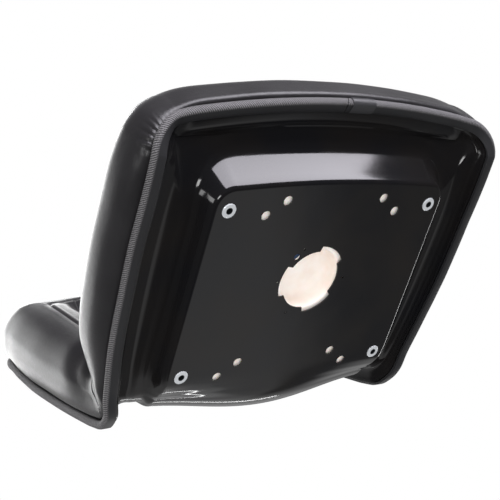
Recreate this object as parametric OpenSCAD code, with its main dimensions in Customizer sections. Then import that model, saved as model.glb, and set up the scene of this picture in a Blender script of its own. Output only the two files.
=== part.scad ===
// Driver seat for a small garden tractor: a pressed steel seat pan and back in one sheet, foam
// cushions, sewn vinyl covers and a thick edging. The origin is on the underside of the flat
// mounting plate, at the centre of the four threaded inserts. The seat faces -Y, and the sitter's
// left hand is at +X. A place on the sheet is [x, s]: s runs along the middle of the sheet from
// front to back, round the bend and up the back rest, and h is the height on the cushion's side.

/* [Mounting plate] */
// Distance from a threaded insert to the side edge of the flat plate
plate_side_margin = 15; // [13.5:0.5:20]
// Distance from a front threaded insert to the front edge of the flat plate
plate_front_margin = 27; // [21:1:32]
// Corner radius of the plate
plate_corner_r = 20; // [14:1:26]
// Thickness of the steel sheet
sheet_t = 1.5; // [1:0.1:2]
// Height of the pressed wall along the sides of the plate
trough_side = 24; // [21:1:26]
// Height of the pressed wall along the front of the plate
trough_front = 45; // [43:1:48]

/* [Mounting holes] */
// Distance between the threaded inserts across the seat
insert_pitch_x = 270; // [250:1:272]
// Distance between the threaded inserts from front to back
insert_pitch_y = 200; // [180:1:204]
// Inner diameter of a threaded insert
insert_bore_d = 6.8; // [5:0.1:8.5]
// Diameter of the flange of a threaded insert
insert_flange_d = 16; // [14.5:0.5:17]
// Distance between the outer plain holes across the seat
outer_pitch_x = 175; // [165:1:190]
// Distance between the inner plain holes across the seat
inner_pitch_x = 130; // [110:1:140]
// Distance between the plain holes from front to back
hole_pitch_y = 199; // [185:1:204]
// Diameter of the plain holes
hole_d = 11; // [8:0.5:12]

/* [Switch opening] */
// Radius of the switch opening between its lobes
switch_r = 35.3; // [30:0.1:38]
// Radius of the switch opening at its three lobes
lobe_r = 41.7; // [39.5:0.1:43]
// Angle that each lobe spans
lobe_span = 58; // [40:1:70]
// Depth of the foam pocket over the switch opening
pocket_depth = 25; // [15:1:32]

/* [Side profile] */
// Distance from the centre of the inserts to the start of the bend
bend_start = 132; // [129:1:136]
// Radius of the bend between seat and back rest
bend_r = 50; // [46:1:54]
// Lean of the back rest from upright
lean = 19.6; // [17:0.1:22]

/* [Rim] */
// Width of the seat over its edging
rim_w = 456; // [446:1:466]
// Distance from the centre of the inserts to the front of the edging
rim_front = 206; // [203:1:210]
// Corner radius of the edging at the front
rim_corner_r = 36; // [33:1:40]
// Length of the back rest from the end of the bend to its top edge
back_len = 304.6; // [298:0.1:312]
// Corner radius of the edging at the top of the back rest
top_corner_r = 45; // [41:1:48]
// Thickness of the edging
edging_t = 9.8; // [9.4:0.1:11]
// Depth of the edging
edging_depth = 13.5; // [13:0.1:14.2]

/* [Cushions] */
// Height of the seat cushion's crest above the plate
seat_crest = 102; // [96:1:106]
// Depth of the hollow along the middle of the seat cushion
seat_hollow = 14; // [10:1:18]
// Height of the back cushion's crest in front of the sheet
back_crest = 74; // [70:1:78]
// Depth of the hollow along the middle of the back cushion
back_hollow = 17; // [13:1:20]
// How far the seat cushion's side swells out past the edging
side_bulge = 13; // [9:0.5:16]
// Thickness of the vinyl
cover_t = 1.1; // [0.8:0.1:1.3]
// Thickness of the wadding behind the channelled panels
wadding_t = 8; // [6:0.5:9]
// Depth of the sewn channels
channel_depth = 4.5; // [3:0.5:5]
// Distance between two sewn channels
channel_pitch = 66; // [60:1:70]

/* [Hidden] */

// Clearance between two soft pieces, and round the edging's lips
gap = 0.8;
lip_gap = 0.8;
// Half of the gap left at a sewn seam
seam_gap = 0.4;

// Middles of the two sets of plain holes and of the switch opening, behind that of the inserts
outer_shift = 7;
inner_shift = -9.5;
switch_shift = -10.5;
// Small holes round the switch opening, with the angles of the screw holes
screw_hole_d = 2.6;
screw_hole_at = [0, 117, 180, 240];
stop_hole_d = 8;
stop_hole_at = -134;
// Threaded inserts: shank, its hole in the sheet, length, flange and the bulb over the sheet
insert_shank_d = insert_bore_d + 4;
insert_hole_d = insert_shank_d + 0.7;
insert_len = 15;
insert_flange_t = 1.2;
insert_edge = 0.5;
insert_bulb = 2;
insert_bulb_len = 4;
// Half length of the tools that cut the sheet
cut = 6;
// Place, width and slant of the edging's joint, and the sleeve beside it
joint_x = 8;
joint_w = 0.8;
joint_slant = 24;
joint_reach = 60;
sleeve_x = [9.5, 41];
sleeve_t = 0.6;
sleeve_gap = 0.35;

// Steps along half of the front edge, and round a corner
front_steps = 5;
corner_steps = 4;
plate_w = insert_pitch_x + 2 * plate_side_margin;
plate_front = insert_pitch_y / 2 + plate_front_margin;
// The plate's sides start to rise behind the rear inserts
arch_start = (insert_pitch_y + insert_flange_d) / 2 + 3;
arch_stop = mix(arch_start, bend_start, 0.52);
bend_deg = 90 - lean;
bend_len = bend_r * bend_deg * PI / 180;
bend_end = bend_start + bend_len;
bend_steps = 5;
rim_top = bend_end + back_len;
arch_half = plate_w / 2 + 20;
front_bow = 17;
top_bow = 24;
crest_in = 44;
// Places at which the cushion starts to fan out, and its crest starts to fall
fan_start = bend_start - 72;
crest_fall = bend_start - 42;
boss_top_in = 60;

side_stops = concat([-70, -30, 10, 50, arch_start - 27, arch_start, arch_stop],
    [for (i = [0:bend_steps]) bend_start + i * bend_len / bend_steps],
    [for (f = [0.07, 0.19, 0.35, 0.5, 0.63]) bend_end + f * back_len]);
stops_before_bend = 7;
side_steps = len(side_stops) + 1;
// Columns of the grid from the middle to one side, its rows, and the steps of half a loop
columns = front_steps + corner_steps / 2;
rows = side_steps + corner_steps;
half_loop = 2 * columns + rows;
// Row at which the seat cushion meets the back cushion
crease_row = stops_before_bend + 4 + corner_steps / 2;
crease_stop = columns + crease_row;
// Column of the seam between a channelled panel and its bolster
seam_column = 3;
column_part = [0, 0.233, 0.467, 0.7, 0.78, 0.87, 0.95, 1];
front_part = column_part[front_steps];

function mix(a, b, t) = a + (b - a) * t;
function unit(v) = v / norm(v);
function clamp01(t) = min(1, max(0, t));
function ease(t) = let (c = clamp01(t)) c * c * (3 - 2 * c);
function last(list) = list[len(list) - 1];

// Side profile of the sheet
function bend_angle(s) = bend_deg * clamp01((s - bend_start) / bend_len);
function profile_y(s) = min(s, bend_start) + bend_r * sin(bend_angle(s))
    + max(0, s - bend_end) * cos(bend_deg);
function profile_z(s) = bend_r * (1 - cos(bend_angle(s))) + max(0, s - bend_end) * sin(bend_deg);
function profile_point(xs, h, angle) = [
    xs[0],
    profile_y(xs[1]) - h * sin(angle),
    profile_z(xs[1]) + h * cos(angle)
];
function sheet_point(xs, h) = profile_point(xs, h, bend_angle(xs[1]));
// Cushions fan out more slowly than the sheet, so that they meet in a crease
function fan_angle(s) = bend_deg * (s < bend_end
    ? 0.46 * ease((s - fan_start) / (bend_end - fan_start))
    : mix(0.46, 1, ease((s - bend_end) / (0.34 * back_len))));
function cushion_point(xs, h) = profile_point(xs, h,
    mix(bend_angle(xs[1]), fan_angle(xs[1]), ease((h - 16) / 34)));

// Loops: half of each runs from the middle of the front edge to the middle of the top edge
function out_angle(i) = i <= front_steps ? -90
    : i <= front_steps + corner_steps ? -90 + 90 * (i - front_steps) / corner_steps
    : i <= half_loop - columns - corner_steps / 2 ? 0
    : i <= half_loop - front_steps ? 90 - 90 * (half_loop - front_steps - i) / corner_steps
    : 90;
function outward(i) = [cos(out_angle(i)), sin(out_angle(i))];

// One half loop from its front, top, corner radii, bows, side places and side half widths
function loop_point(i, front, bow_f, r_f, top, bow_t, r_t, stops, widths) =
    i <= front_steps
    ? let (part = column_part[i] / front_part)
        [(widths[0] - r_f) * part, front + bow_f * part * part]
    : i < front_steps + corner_steps
    ? [widths[0] - r_f, front + bow_f + r_f] + r_f * outward(i)
    : i <= half_loop - columns - corner_steps / 2
    ? let (k = i - front_steps - corner_steps) [widths[k], stops[k]]
    : i < half_loop - front_steps
    ? [last(widths) - r_t, top - bow_t - r_t] + r_t * outward(i)
    : let (part = column_part[half_loop - i] / front_part)
        [(last(widths) - r_t) * part, top - bow_t * part * part];

function rim_half(s) = rim_w / 2 - lookup(s, [[-133, 0], [-60, 0], [0, 2], [40, 4.5], [75, 8],
    [117, 14], [140, 17], [165, 22], [190, 24.5], [300, 26], [400, 28], [440, 31]]);
function boss_half(s) = plate_w / 2 - lookup(s, [[90, 0], [132, 4], [250, 10], [400, 12]]);
function crest_half(s) = rim_half(s) - crest_in;

rim_stops = concat([-rim_front + front_bow + rim_corner_r], side_stops,
    [rim_top - top_bow - top_corner_r]);
rim_loop = [for (i = [0:half_loop]) loop_point(i, -rim_front, front_bow, rim_corner_r, rim_top,
    top_bow, top_corner_r, rim_stops, [for (s = rim_stops) rim_half(s)])];

boss_stops = concat([-plate_front + plate_corner_r], side_stops,
    [rim_top - boss_top_in - top_bow - plate_corner_r]);
boss_loop = [for (i = [0:half_loop]) loop_point(i, -plate_front, 0, plate_corner_r,
    rim_top - boss_top_in, top_bow, plate_corner_r, boss_stops,
    [for (s = boss_stops) boss_half(s)])];

crest_front = -rim_front + crest_in;
crest_top = rim_top - crest_in;
crest_r = (1 - front_part) * crest_half(0);
crest_stops = concat([crest_front + front_bow + crest_r], side_stops,
    [crest_top - top_bow - crest_r]);
crest_loop = [for (i = [0:half_loop]) loop_point(i, crest_front, front_bow, crest_r, crest_top,
    top_bow, crest_r, crest_stops, [for (s = crest_stops) crest_half(s)])];

// Share of the front edge at each step: 1 at the front, 0 from the end of its corner on
function front_share(i) = 1 - ease((i - front_steps + 1) / (corner_steps + 2));
// Height of the rim flange above the sheet's profile
function rim_height(i) = let (s = rim_loop[i][1]) i <= front_steps + corner_steps
    ? mix(12.5, 36, front_share(i))
    : lookup(s, [[-133, 11.5], [-99, 12.5], [-60, 14], [0, 14], [35, 15], [75, 16], [117, 16],
        [132, 15], [144, 13], [157, 10], [169, 7.5], [181, 4], [193, 2], [215, -1], [300, -6],
        [350, -7], [400, -4], [430, -1.5]]);
// Forward tilt of the flange along the front edge
function rim_tilt(i) = 20 * front_share(i);
// Height of the trough's roof
function trough(i) = let (s = rim_loop[i][1]) i <= front_steps + corner_steps + 1
    ? mix(trough_side, trough_front, front_share(i))
    : mix(trough_side, 10, ease((s - bend_end + 12) / 70));
// The middle of the sheet bows out towards the bend while its sides rise
function arch(xs) = lookup(xs[1], [[arch_start, 0], [arch_stop, 5], [bend_start, 11],
    [bend_start + 13, 16.5], [bend_end + 7, 17], [bend_end + 77, 8], [rim_top, 6]])
    * (1 - cos(180 * min(1, abs(xs[0]) / arch_half))) / 2;

// Frame of the rim at step i: out of the sheet's edge, and across it to the cushion's side
function rim_out(i) = let (a = bend_angle(rim_loop[i][1]), o = outward(i), t = rim_tilt(i))
    cos(t) * [o[0], o[1] * cos(a), o[1] * sin(a)] - sin(t) * [0, -sin(a), cos(a)];
function rim_across(i) = let (a = bend_angle(rim_loop[i][1]), o = outward(i), t = rim_tilt(i))
    sin(t) * [o[0], o[1] * cos(a), o[1] * sin(a)] + cos(t) * [0, -sin(a), cos(a)];
function rim_point(i, e, h) = sheet_point(rim_loop[i], rim_height(i)) + e * rim_out(i)
    + h * rim_across(i);

// Rows and columns of the inner grid. Its outline is one of the loops.
function grid_xs(loop, u, c) = let (
        k = abs(c),
        low = min(rows - 1, floor(u)),
        edge = mix(loop[columns + low], loop[columns + low + 1], u - low),
        front = 1 - clamp01(u / 3),
        top = 1 - clamp01((rows - u) / 3),
        side_part = column_part[k],
        front_point = loop[k],
        top_point = loop[half_loop - k],
        part = side_part
            + front * (front_point[0] / loop[columns][0] - side_part)
            + top * (top_point[0] / loop[half_loop - columns][0] - side_part)
    ) [
        sign(c) * edge[0] * part,
        edge[1] + front * (front_point[1] - loop[columns][1])
            + top * (top_point[1] - loop[half_loop - columns][1])
    ];

// Grid place [row, column] of step k of a loop, where negative steps are on the right-hand side
function grid_place(k) = let (w = k > half_loop ? k - 2 * half_loop : k, a = abs(w))
    a <= columns ? [0, w]
    : a <= columns + rows ? [a - columns, sign(w) * columns]
    : [rows, sign(w) * (half_loop - a)];
function loop_step(k) = k > half_loop ? 2 * half_loop - k : abs(k);
function loop_side(k) = k > half_loop || k < 0 ? -1 : 1;
function mirrored(p, side) = [p[0] * side, p[1], p[2]];

// Sheet: the flat plate, the wall of the trough, its roof, the outer wall and the flange
wall_run = [0, 3, 5.5, 10.5, 15.5, 23];
wall_rise = [0, 0.04, 0.2, 0.72, 0.93, 1];
flange_in = edging_depth + 3.6;
flange_end = 3.6;
roof_end = flange_in + 8;
shell_rings = len(wall_run) + 4;

// Underside of the sheet at ring j and step i
function shell_low(j, i) = let (walls = len(wall_run)) j < walls
    ? let (xs = boss_loop[i] + wall_run[j] * outward(i))
        sheet_point(xs, mix(arch(boss_loop[i]), trough(i), wall_rise[j]))
    : j == walls ? sheet_point(rim_loop[i] - roof_end * outward(i), trough(i))
    : j == walls + 1 ? let (roof = sheet_point(rim_loop[i] - (roof_end - 3.5) * outward(i),
        trough(i))) mix(roof, rim_point(i, -flange_in, -sheet_t / 2), 0.16)
    : j == walls + 2 ? let (roof = sheet_point(rim_loop[i] - (roof_end - 5) * outward(i),
        trough(i))) mix(roof, rim_point(i, -flange_in, -sheet_t / 2), 0.8)
    : rim_point(i, j == walls + 3 ? -flange_in : -flange_end, -sheet_t / 2);

function ring_normal(j, i) = j == 0 ? let (a = bend_angle(boss_loop[i][1])) [0, -sin(a), cos(a)]
    : j >= shell_rings - 1 ? rim_across(i)
    : let (
        along = i == 0 || i == half_loop ? [1, 0, 0] * (i == 0 ? 1 : -1)
            : shell_low(j, i + 1) - shell_low(j, i - 1),
        out = shell_low(j + 1, i) - shell_low(j - 1, i)
    ) unit(cross(out, along));

// The sheet's faces and the foam's underside are the same surface at different heights
function shell_face(j, i, lift) = shell_low(j, i) + lift * ring_normal(j, i);
function plate_face(u, c, lift) = let (xs = grid_xs(boss_loop, u, c))
    sheet_point(xs, arch(xs) + lift);

// Cushion section from the crest seam down to the hem: steps out from the rim, and heights as
// shares of the crest. The last five points fold the hem round the edging's lip.
crest_out = [-crest_in, -28, -13, -4, 0, 0, 0, -1, -3.5];
crest_share = [1, 0.985, 0.92, 0.76, 0.58, 0.42, 0.27];
bulge_share = [0, 0, 0, 0.45, 0.95, 1, 0.85, 0.45, 0];
lip_top = edging_t / 2 + 0.1;
sleeve_room = 1.4;
hem_high = sheet_t / 2 + lip_gap + cover_t;
fold = [[-edging_depth + 0.1, lip_top + sleeve_room], [-edging_depth - 0.8, lip_top - 0.6],
    [-edging_depth - 0.8, hem_high], [-flange_end - 1, hem_high]];
cover_rings = len(crest_out) + len(fold);

function bulge(i) = let (s = rim_loop[i][1]) i <= front_steps + corner_steps
    ? mix(side_bulge, 3.5, front_share(i))
    : side_bulge * lookup(s, [[-60, 1], [0, 1], [60, 0.8], [100, 0.5], [132, 0.2], [157, 0],
        [200, 0.1], [260, 0.45], [400, 0.45]]);
// Height of the crest over the profile, at a row and a column of the grid
function crest_base(s) = s < bend_end
    ? mix(seat_crest, mix(seat_crest, back_crest, 0.7),
        ease((s - crest_fall) / (bend_end - crest_fall)))
    : mix(mix(seat_crest, back_crest, 0.7), back_crest, ease((s - bend_end) / 60));
function hollow(s, c) = let (
        share = lookup(abs(c), [[0, 1], [2, 0.9], [3, 1.05], [4, 0.45], [5, 0.05], [6, 0], [7, 0]])
    ) share * mix(seat_hollow, back_hollow, ease((s - 100) / 140));
// Rounding of both cushions into the crease
function crease_dip(s) = 14 * ease(1 - abs(s - side_stops[crease_row - 3]) / 30);
function crest_height(u, c) = let (
        s = grid_xs(crest_loop, u, c)[1],
        plain = ease(u / 2.5) * ease((rows - u) / 2.5)
    ) crest_base(s) - crease_dip(s) - plain * hollow(s, c) - 4 * (1 - ease((rows - u) / 2));
function crest_point(u, c, depth) = cushion_point(grid_xs(crest_loop, u, c),
    crest_height(u, c) - depth);

// Offsets an open outline of [out, height] points to its right by d
function offset_line(points, d) = [for (n = [0:len(points) - 1]) let (
        before = unit(points[max(n, 1)] - points[max(n, 1) - 1]),
        after = unit(points[min(n, len(points) - 2) + 1] - points[min(n, len(points) - 2)]),
        n1 = [before[1], -before[0]],
        n2 = [after[1], -after[0]]
    ) points[n] + d * (n1 + n2) / (1 + n1 * n2)];

// The whole section at step i, moved inwards by depth
function section(i, depth) = let (
        place = grid_place(i),
        top = crest_height(place[0], place[1]) - rim_height(i),
        b = bulge(i),
        upper = [for (n = [0:len(crest_out) - 1]) [
            crest_out[n] + b * bulge_share[n],
            n < len(crest_share) ? top * crest_share[n]
                : n == len(crest_share) ? lip_top + 6.5 : lip_top + sleeve_room + 0.5
        ]]
    ) offset_line(concat(upper, fold), depth);
function cover_point(j, i, depth) = let (
        p = section(i, depth)[j],
        xs = rim_loop[i] + p[0] * outward(i),
        free = cushion_point(xs, rim_height(i) + p[1]),
        held = rim_point(i, p[0], p[1])
    ) j < len(crest_share) ? free : j == len(crest_share) ? mix(free, held, 0.5) : held;

// Body made of two copies of one patch of quads, low and high, with walls along its open edges
function flat(list) = [for (part = list) for (item = part) item];
function grid_index(u, c) = u * (2 * columns + 1) + c + columns;
grid_count = (rows + 1) * (2 * columns + 1);
loop_count = 2 * half_loop;
function ring_index(j, k) = let (w = (k + loop_count) % loop_count, place = grid_place(w))
    j == 0 ? grid_index(place[0], place[1]) : grid_count + (j - 1) * loop_count + w;
// A quad is split along its first diagonal, so those on the right-hand side start one point later
function split_side(q, right) = right ? [q[1], q[2], q[3], q[0]] : q;
function grid_quads(r0, r1, c0, c1) = [for (u = [r0:r1 - 1]) for (c = [c0:c1 - 1]) split_side(
    [grid_index(u, c), grid_index(u, c + 1), grid_index(u + 1, c + 1), grid_index(u + 1, c)],
    c < 0)];
function ring_quads(j0, j1, k0, k1) = [for (j = [j0:j1 - 1]) for (k = [k0:k1 - 1]) split_side(
    [ring_index(j, k), ring_index(j + 1, k), ring_index(j + 1, k + 1), ring_index(j, k + 1)],
    k < 0 || k >= half_loop)];

// Directed edges that only one quad uses, walked with the patch on their left, each with the
// direction across it into its own quad
edge_base = 10000;
function quad_normal(points, q) = unit(cross(points[q[2]] - points[q[0]], points[q[3]] - points[q[1]]));
function open_edges(quads) = let (
        edges = [for (q = quads) for (n = [0:3]) [q[n], q[(n + 1) % 4], q]],
        codes = [for (e = edges) e[0] * edge_base + e[1]],
        found = search([for (e = edges) e[1] * edge_base + e[0]], codes)
    ) [for (n = [0:len(edges) - 1]) if (!is_num(found[n])) edges[n]];
function inward(points, e) = cross(quad_normal(points, e[2]), unit(points[e[1]] - points[e[0]]));
// Moves the points on open edges into the patch, so that each edge steps back by d
function drawn_in(points, edges, d) = let (
        steps = [for (e = edges) inward(points, e)],
        starts = [for (e = edges) e[0]],
        ends = [for (e = edges) e[1]]
    ) [for (v = [0:len(points) - 1]) let (a = search(v, starts), b = search(v, ends))
        d == 0 || len(a) == 0 ? points[v]
        : let (n1 = steps[a[0]], n2 = steps[b[0]]) points[v] + d * (n1 + n2) / (1 + n1 * n2)];

// Renumbers the quads and keeps only the points that they use
function used_points(quads, count) = let (all = flat(quads))
    [for (v = [0:count - 1]) if (len(search(v, all)) > 0) v];
module body(low, high, quads, draw) {
    used = used_points(quads, len(low));
    faces = [for (q = quads) search(q, used)];
    edges = open_edges(faces);
    low_points = drawn_in([for (v = used) low[v]], edges, draw);
    high_points = drawn_in([for (v = used) high[v]], edges, draw);
    n = len(used);
    polyhedron(concat(low_points, high_points), concat(
        [for (q = faces) [q[0], q[1], q[2]]],
        [for (q = faces) [q[0], q[2], q[3]]],
        [for (q = faces) [q[2] + n, q[1] + n, q[0] + n]],
        [for (q = faces) [q[3] + n, q[2] + n, q[0] + n]],
        [for (e = edges) [e[1], e[0], min(e[0], e[1]) + n]],
        [for (e = edges) [max(e[0], e[1]), e[0] + n, e[1] + n]]));
}

// Point lists of whole surfaces
function sheet_surface(lift, rings) = concat(
    flat([for (u = [0:rows]) [for (c = [-columns:columns]) plate_face(u, c, lift)]]),
    flat([for (j = [1:rings]) let (half = [for (i = [0:half_loop]) shell_face(j, i, lift)])
        [for (k = [0:loop_count - 1]) mirrored(half[loop_step(k)], loop_side(k))]]));
function cover_surface(depth) = concat(
    flat([for (u = [0:rows]) [for (c = [-columns:columns]) crest_point(u, c, depth)]]),
    flat([for (j = [1:cover_rings - 1]) let (
            half = [for (i = [0:half_loop]) cover_point(j, i, depth)])
        [for (k = [0:loop_count - 1]) mirrored(half[loop_step(k)], loop_side(k))]]));

// Foam: its top follows the covers, and dips under the wadding of the channelled panels
foam_depth = cover_t + gap;
foam_lift = 1.6;
wadding_depth = cover_t + 1 + wadding_t;
foam_rings = [1, 2, 3, 5];
foam_lips = [4 - edging_depth, -edging_depth - 2.5];
function foam_lip(i, e) = rim_point(i, e,
    max(lip_top + 4, trough(i) - rim_height(i) + sheet_t + foam_lift + gap));
function foam_top() = concat(
    flat([for (u = [0:rows]) [for (c = [-columns:columns])
        crest_point(u, c, abs(c) <= seam_column ? wadding_depth + 1.6 : foam_depth)]]),
    flat([for (j = foam_rings) let (
            half = [for (i = [0:half_loop]) cover_point(j, i, foam_depth)])
        [for (k = [0:loop_count - 1]) mirrored(half[loop_step(k)], loop_side(k))]]),
    flat([for (e = foam_lips)
        [for (k = [0:loop_count - 1]) mirrored(foam_lip(loop_step(k), e), loop_side(k))]]));
foam_levels = len(foam_rings) + len(foam_lips);
module foam(r0, r1, k0, k1) {
    body(sheet_surface(sheet_t + foam_lift, foam_levels), foam_top(),
        concat(grid_quads(r0, r1, -columns, columns), ring_quads(0, foam_levels, k0, k1)), gap);
}

// Closed body between two grids of points with the same rows and columns
module slab(low, high) {
    m = len(low);
    n = len(low[0]);
    quads = [for (a = [0:m - 2]) for (b = [0:n - 2])
        [a * n + b, a * n + b + 1, (a + 1) * n + b + 1, (a + 1) * n + b]];
    body(flat(low), flat(high), quads, seam_gap);
}

// Channelled panels: grid rows at the channels, and over the top edge the rings of the cover
function row_at(s) = lookup(s, [for (u = [0:rows]) [crest_loop[columns + u][1], u]]);
channel_half = 5;
function channel_rows(stops) = flat([for (s = stops)
    [s - channel_half, s, s + channel_half, s + channel_pitch / 2]]);
seat_channels = [for (n = [0:3]) -96 + n * channel_pitch];
back_channels = [for (n = [2:-1:0]) crest_top - 62 - n * channel_pitch];
seat_panel_stops = channel_rows(seat_channels);
back_panel_stops = channel_rows(back_channels);
function channel_at(s, stops) = max([for (c = stops) 1 - abs(s - c) / channel_half]);
function panel_grid(us, stops, depth, dip) = [for (u = us) [for (c = [-seam_column:seam_column])
    crest_point(u, c, depth + dip * max(0, channel_at(grid_xs(crest_loop, u, 0)[1], stops)))]];
seat_us = concat([0, 0.5], [for (s = seat_panel_stops) if (s < bend_start + 10) row_at(s)],
    [crease_row - 1, crease_row]);
back_us = concat([crease_row, crease_row + 1, crease_row + 2],
    [for (s = back_panel_stops) if (s < crest_top - 40) row_at(s)], [rows - 1, rows]);
function panel_edge(depth) = [for (j = [1:cover_rings - 1]) [for (c = [-seam_column:seam_column])
    mirrored(cover_point(j, half_loop - abs(c), depth), c < 0 ? -1 : 1)]];

vinyl = "#303032";
sheet_black = "#1f1f21";

module seat_shell() {
    color(sheet_black) difference() {
        body(sheet_surface(0, shell_rings), sheet_surface(sheet_t, shell_rings),
            concat(grid_quads(0, rows, -columns, columns),
                ring_quads(0, shell_rings, 0, loop_count)), 0);
        for (x = [-1, 1]) for (y = [-1, 1]) {
            translate([x * insert_pitch_x / 2, y * insert_pitch_y / 2, 0])
                plate_hole(insert_hole_d);
            translate([x * outer_pitch_x / 2, outer_shift + y * hole_pitch_y / 2, 0])
                plate_hole(hole_d);
            translate([x * inner_pitch_x / 2, inner_shift + y * hole_pitch_y / 2, 0])
                plate_hole(hole_d);
        }
        translate([0, switch_shift, 0]) switch_opening();
    }
}
module plate_hole(d) {
    translate([0, 0, -cut]) cylinder(h = 2 * cut, d = d, $fn = 48);
}
module switch_opening() {
    plate_hole(2 * switch_r);
    for (a = [-60, 60, 180]) intersection() {
        plate_hole(2 * lobe_r);
        rotate([0, 0, a]) translate([0, 0, -cut]) linear_extrude(2 * cut)
            polygon([[0, 0], 2 * lobe_r * [cos(lobe_span / 2), -sin(lobe_span / 2)],
                2 * lobe_r * [cos(lobe_span / 2), sin(lobe_span / 2)]]);
    }
    for (a = screw_hole_at) rotate([0, 0, a])
        translate([lobe_r + screw_hole_d + 0.8, 0, 0]) plate_hole(screw_hole_d);
    rotate([0, 0, stop_hole_at]) translate([switch_r + stop_hole_d - 1, 0, 0])
        plate_hole(stop_hole_d);
}

module rivet_nuts() {
    color("#c9ccd0") for (x = [-1, 1]) for (y = [-1, 1])
        translate([x * insert_pitch_x / 2, y * insert_pitch_y / 2, 0]) rotate_extrude($fn = 40)
            polygon([[insert_bore_d / 2, -insert_flange_t],
                [insert_flange_d / 2 - insert_edge, -insert_flange_t],
                [insert_flange_d / 2, insert_edge - insert_flange_t], [insert_flange_d / 2, 0],
                [insert_shank_d / 2, 0], [insert_shank_d / 2, sheet_t],
                [insert_shank_d / 2 + insert_bulb, sheet_t],
                [insert_shank_d / 2 + 0.7 * insert_bulb, sheet_t + 0.75 * insert_bulb_len],
                [insert_shank_d / 2, sheet_t + insert_bulb_len],
                [insert_shank_d / 2, insert_len], [insert_bore_d / 2, insert_len]]);
}

// Edging section in [out, height] from the rim: a thick rounded lip with a slot for the flange
function edging_outline() = let (t = edging_t / 2) [
    [-edging_depth, t + 0.1], [-3.2, t + 0.1], [-0.9, t * 0.78], [0, t * 0.3], [0, -t * 0.3],
    [-0.9, -t * 0.78], [-3.2, -t + 0.1], [-edging_depth, -t + 0.1]];
slot_low = -sheet_t / 2 - lip_gap;
slot_high = hem_high + lip_gap;
edging_section = concat(edging_outline(), [[-edging_depth, slot_low], [-flange_end + 0.5, slot_low],
    [-flange_end + 0.5, slot_high], [-edging_depth, slot_high]]);
module edge_trim() {
    n = len(edging_section);
    half = [for (i = [0:half_loop]) [for (p = edging_section) rim_point(i, p[0], p[1])]];
    points = flat([for (k = [0:loop_count - 1])
        [for (p = half[loop_step(k)]) mirrored(p, loop_side(k))]]);
    ring = [for (k = [0:loop_count - 1]) for (m = [0:n - 1]) let (
            b = (m + 1) % n,
            next = ((k + 1) % loop_count) * n,
            upper = edging_section[m][1] + edging_section[b][1] > 0
        ) split_side([k * n + m, next + m, next + b, k * n + b], upper != (k >= half_loop))];
    color("#3d3d40") difference() {
        polyhedron(points, concat([for (q = ring) [q[0], q[1], q[2]]],
            [for (q = ring) [q[0], q[2], q[3]]]));
        translate([joint_x, -rim_front, trough_front]) rotate([0, joint_slant, 0])
            cube([joint_w, joint_reach, joint_reach], center = true);
    }
}

// Sleeve over the edging beside its joint, between two places along the front edge
module trim_joint_sleeve() {
    inner = offset_line(edging_outline(), -sleeve_gap);
    outer = offset_line(edging_outline(), -sleeve_gap - sleeve_t);
    ends = [for (x = sleeve_x) x / rim_loop[1][0]];
    low = [for (p = inner) [for (f = ends)
        mix(rim_point(0, p[0], p[1]), rim_point(1, p[0], p[1]), f)]];
    high = [for (p = outer) [for (f = ends)
        mix(rim_point(0, p[0], p[1]), rim_point(1, p[0], p[1]), f)]];
    color("#2b2b2d") slab(high, low);
}

module seat_foam() {
    color("#fdeee4") difference() {
        foam(0, crease_row, -crease_stop, crease_stop);
        translate([0, switch_shift, -1]) cylinder(h = pocket_depth + 1, r = switch_r + 1, $fn = 64);
        for (x = [-1, 1]) for (y = [-1, 1])
            translate([x * insert_pitch_x / 2, y * insert_pitch_y / 2, -1])
                cylinder(h = insert_len + 4, d = insert_flange_d + 4, $fn = 32);
    }
}
module back_foam() {
    color("#fdeee4") foam(crease_row, rows, crease_stop, loop_count - crease_stop);
}
module wadding(us, stops) {
    color("#f3efe8") slab(panel_grid(us, stops, wadding_depth, 0),
        panel_grid(us, stops, cover_t + gap, channel_depth));
}
module seat_wadding() {
    wadding([for (u = seat_us) if (u > 0 && u < crease_row - 0.5) u], seat_channels);
}
module back_wadding() {
    wadding([for (u = back_us) if (u > crease_row + 0.5 && u < rows) u], back_channels);
}
module seat_centre_panel() {
    color(vinyl) slab(panel_grid(seat_us, seat_channels, cover_t, channel_depth),
        panel_grid(seat_us, seat_channels, 0, channel_depth));
}
module back_centre_panel() {
    color(vinyl) slab(
        concat(panel_grid(back_us, back_channels, cover_t, channel_depth), panel_edge(cover_t)),
        concat(panel_grid(back_us, back_channels, 0, channel_depth), panel_edge(0)));
}

// Cover pieces cut from the one cover surface
gusset_ring = 6;
module cover_piece(quads) {
    color(vinyl) body(cover_surface(cover_t), cover_surface(0), quads, seam_gap);
}
module seat_bolster() {
    cover_piece(grid_quads(0, crease_row, seam_column, columns));
}
module back_bolster() {
    cover_piece(concat(grid_quads(crease_row, rows, seam_column, columns),
        ring_quads(0, cover_rings - 1, half_loop - columns, half_loop - seam_column)));
}
module back_side() {
    cover_piece(concat(
        ring_quads(0, gusset_ring, crease_stop, half_loop - columns),
        ring_quads(gusset_ring, cover_rings - 1, crease_stop + 1, half_loop - columns)));
}
module corner_gusset() {
    cover_piece(ring_quads(gusset_ring, cover_rings - 1, crease_stop - 1, crease_stop + 1));
}
module seat_boxing() {
    cover_piece(concat(
        ring_quads(0, gusset_ring, -crease_stop, crease_stop),
        ring_quads(gusset_ring, cover_rings - 1, -crease_stop + 1, crease_stop - 1)));
}
module seat_bolster_left() {
    seat_bolster();
}
module seat_bolster_right() {
    mirror([1, 0, 0]) seat_bolster();
}
module back_bolster_left() {
    back_bolster();
}
module back_bolster_right() {
    mirror([1, 0, 0]) back_bolster();
}
module back_side_left() {
    back_side();
}
module back_side_right() {
    mirror([1, 0, 0]) back_side();
}
module corner_gusset_left() {
    corner_gusset();
}
module corner_gusset_right() {
    mirror([1, 0, 0]) corner_gusset();
}

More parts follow.
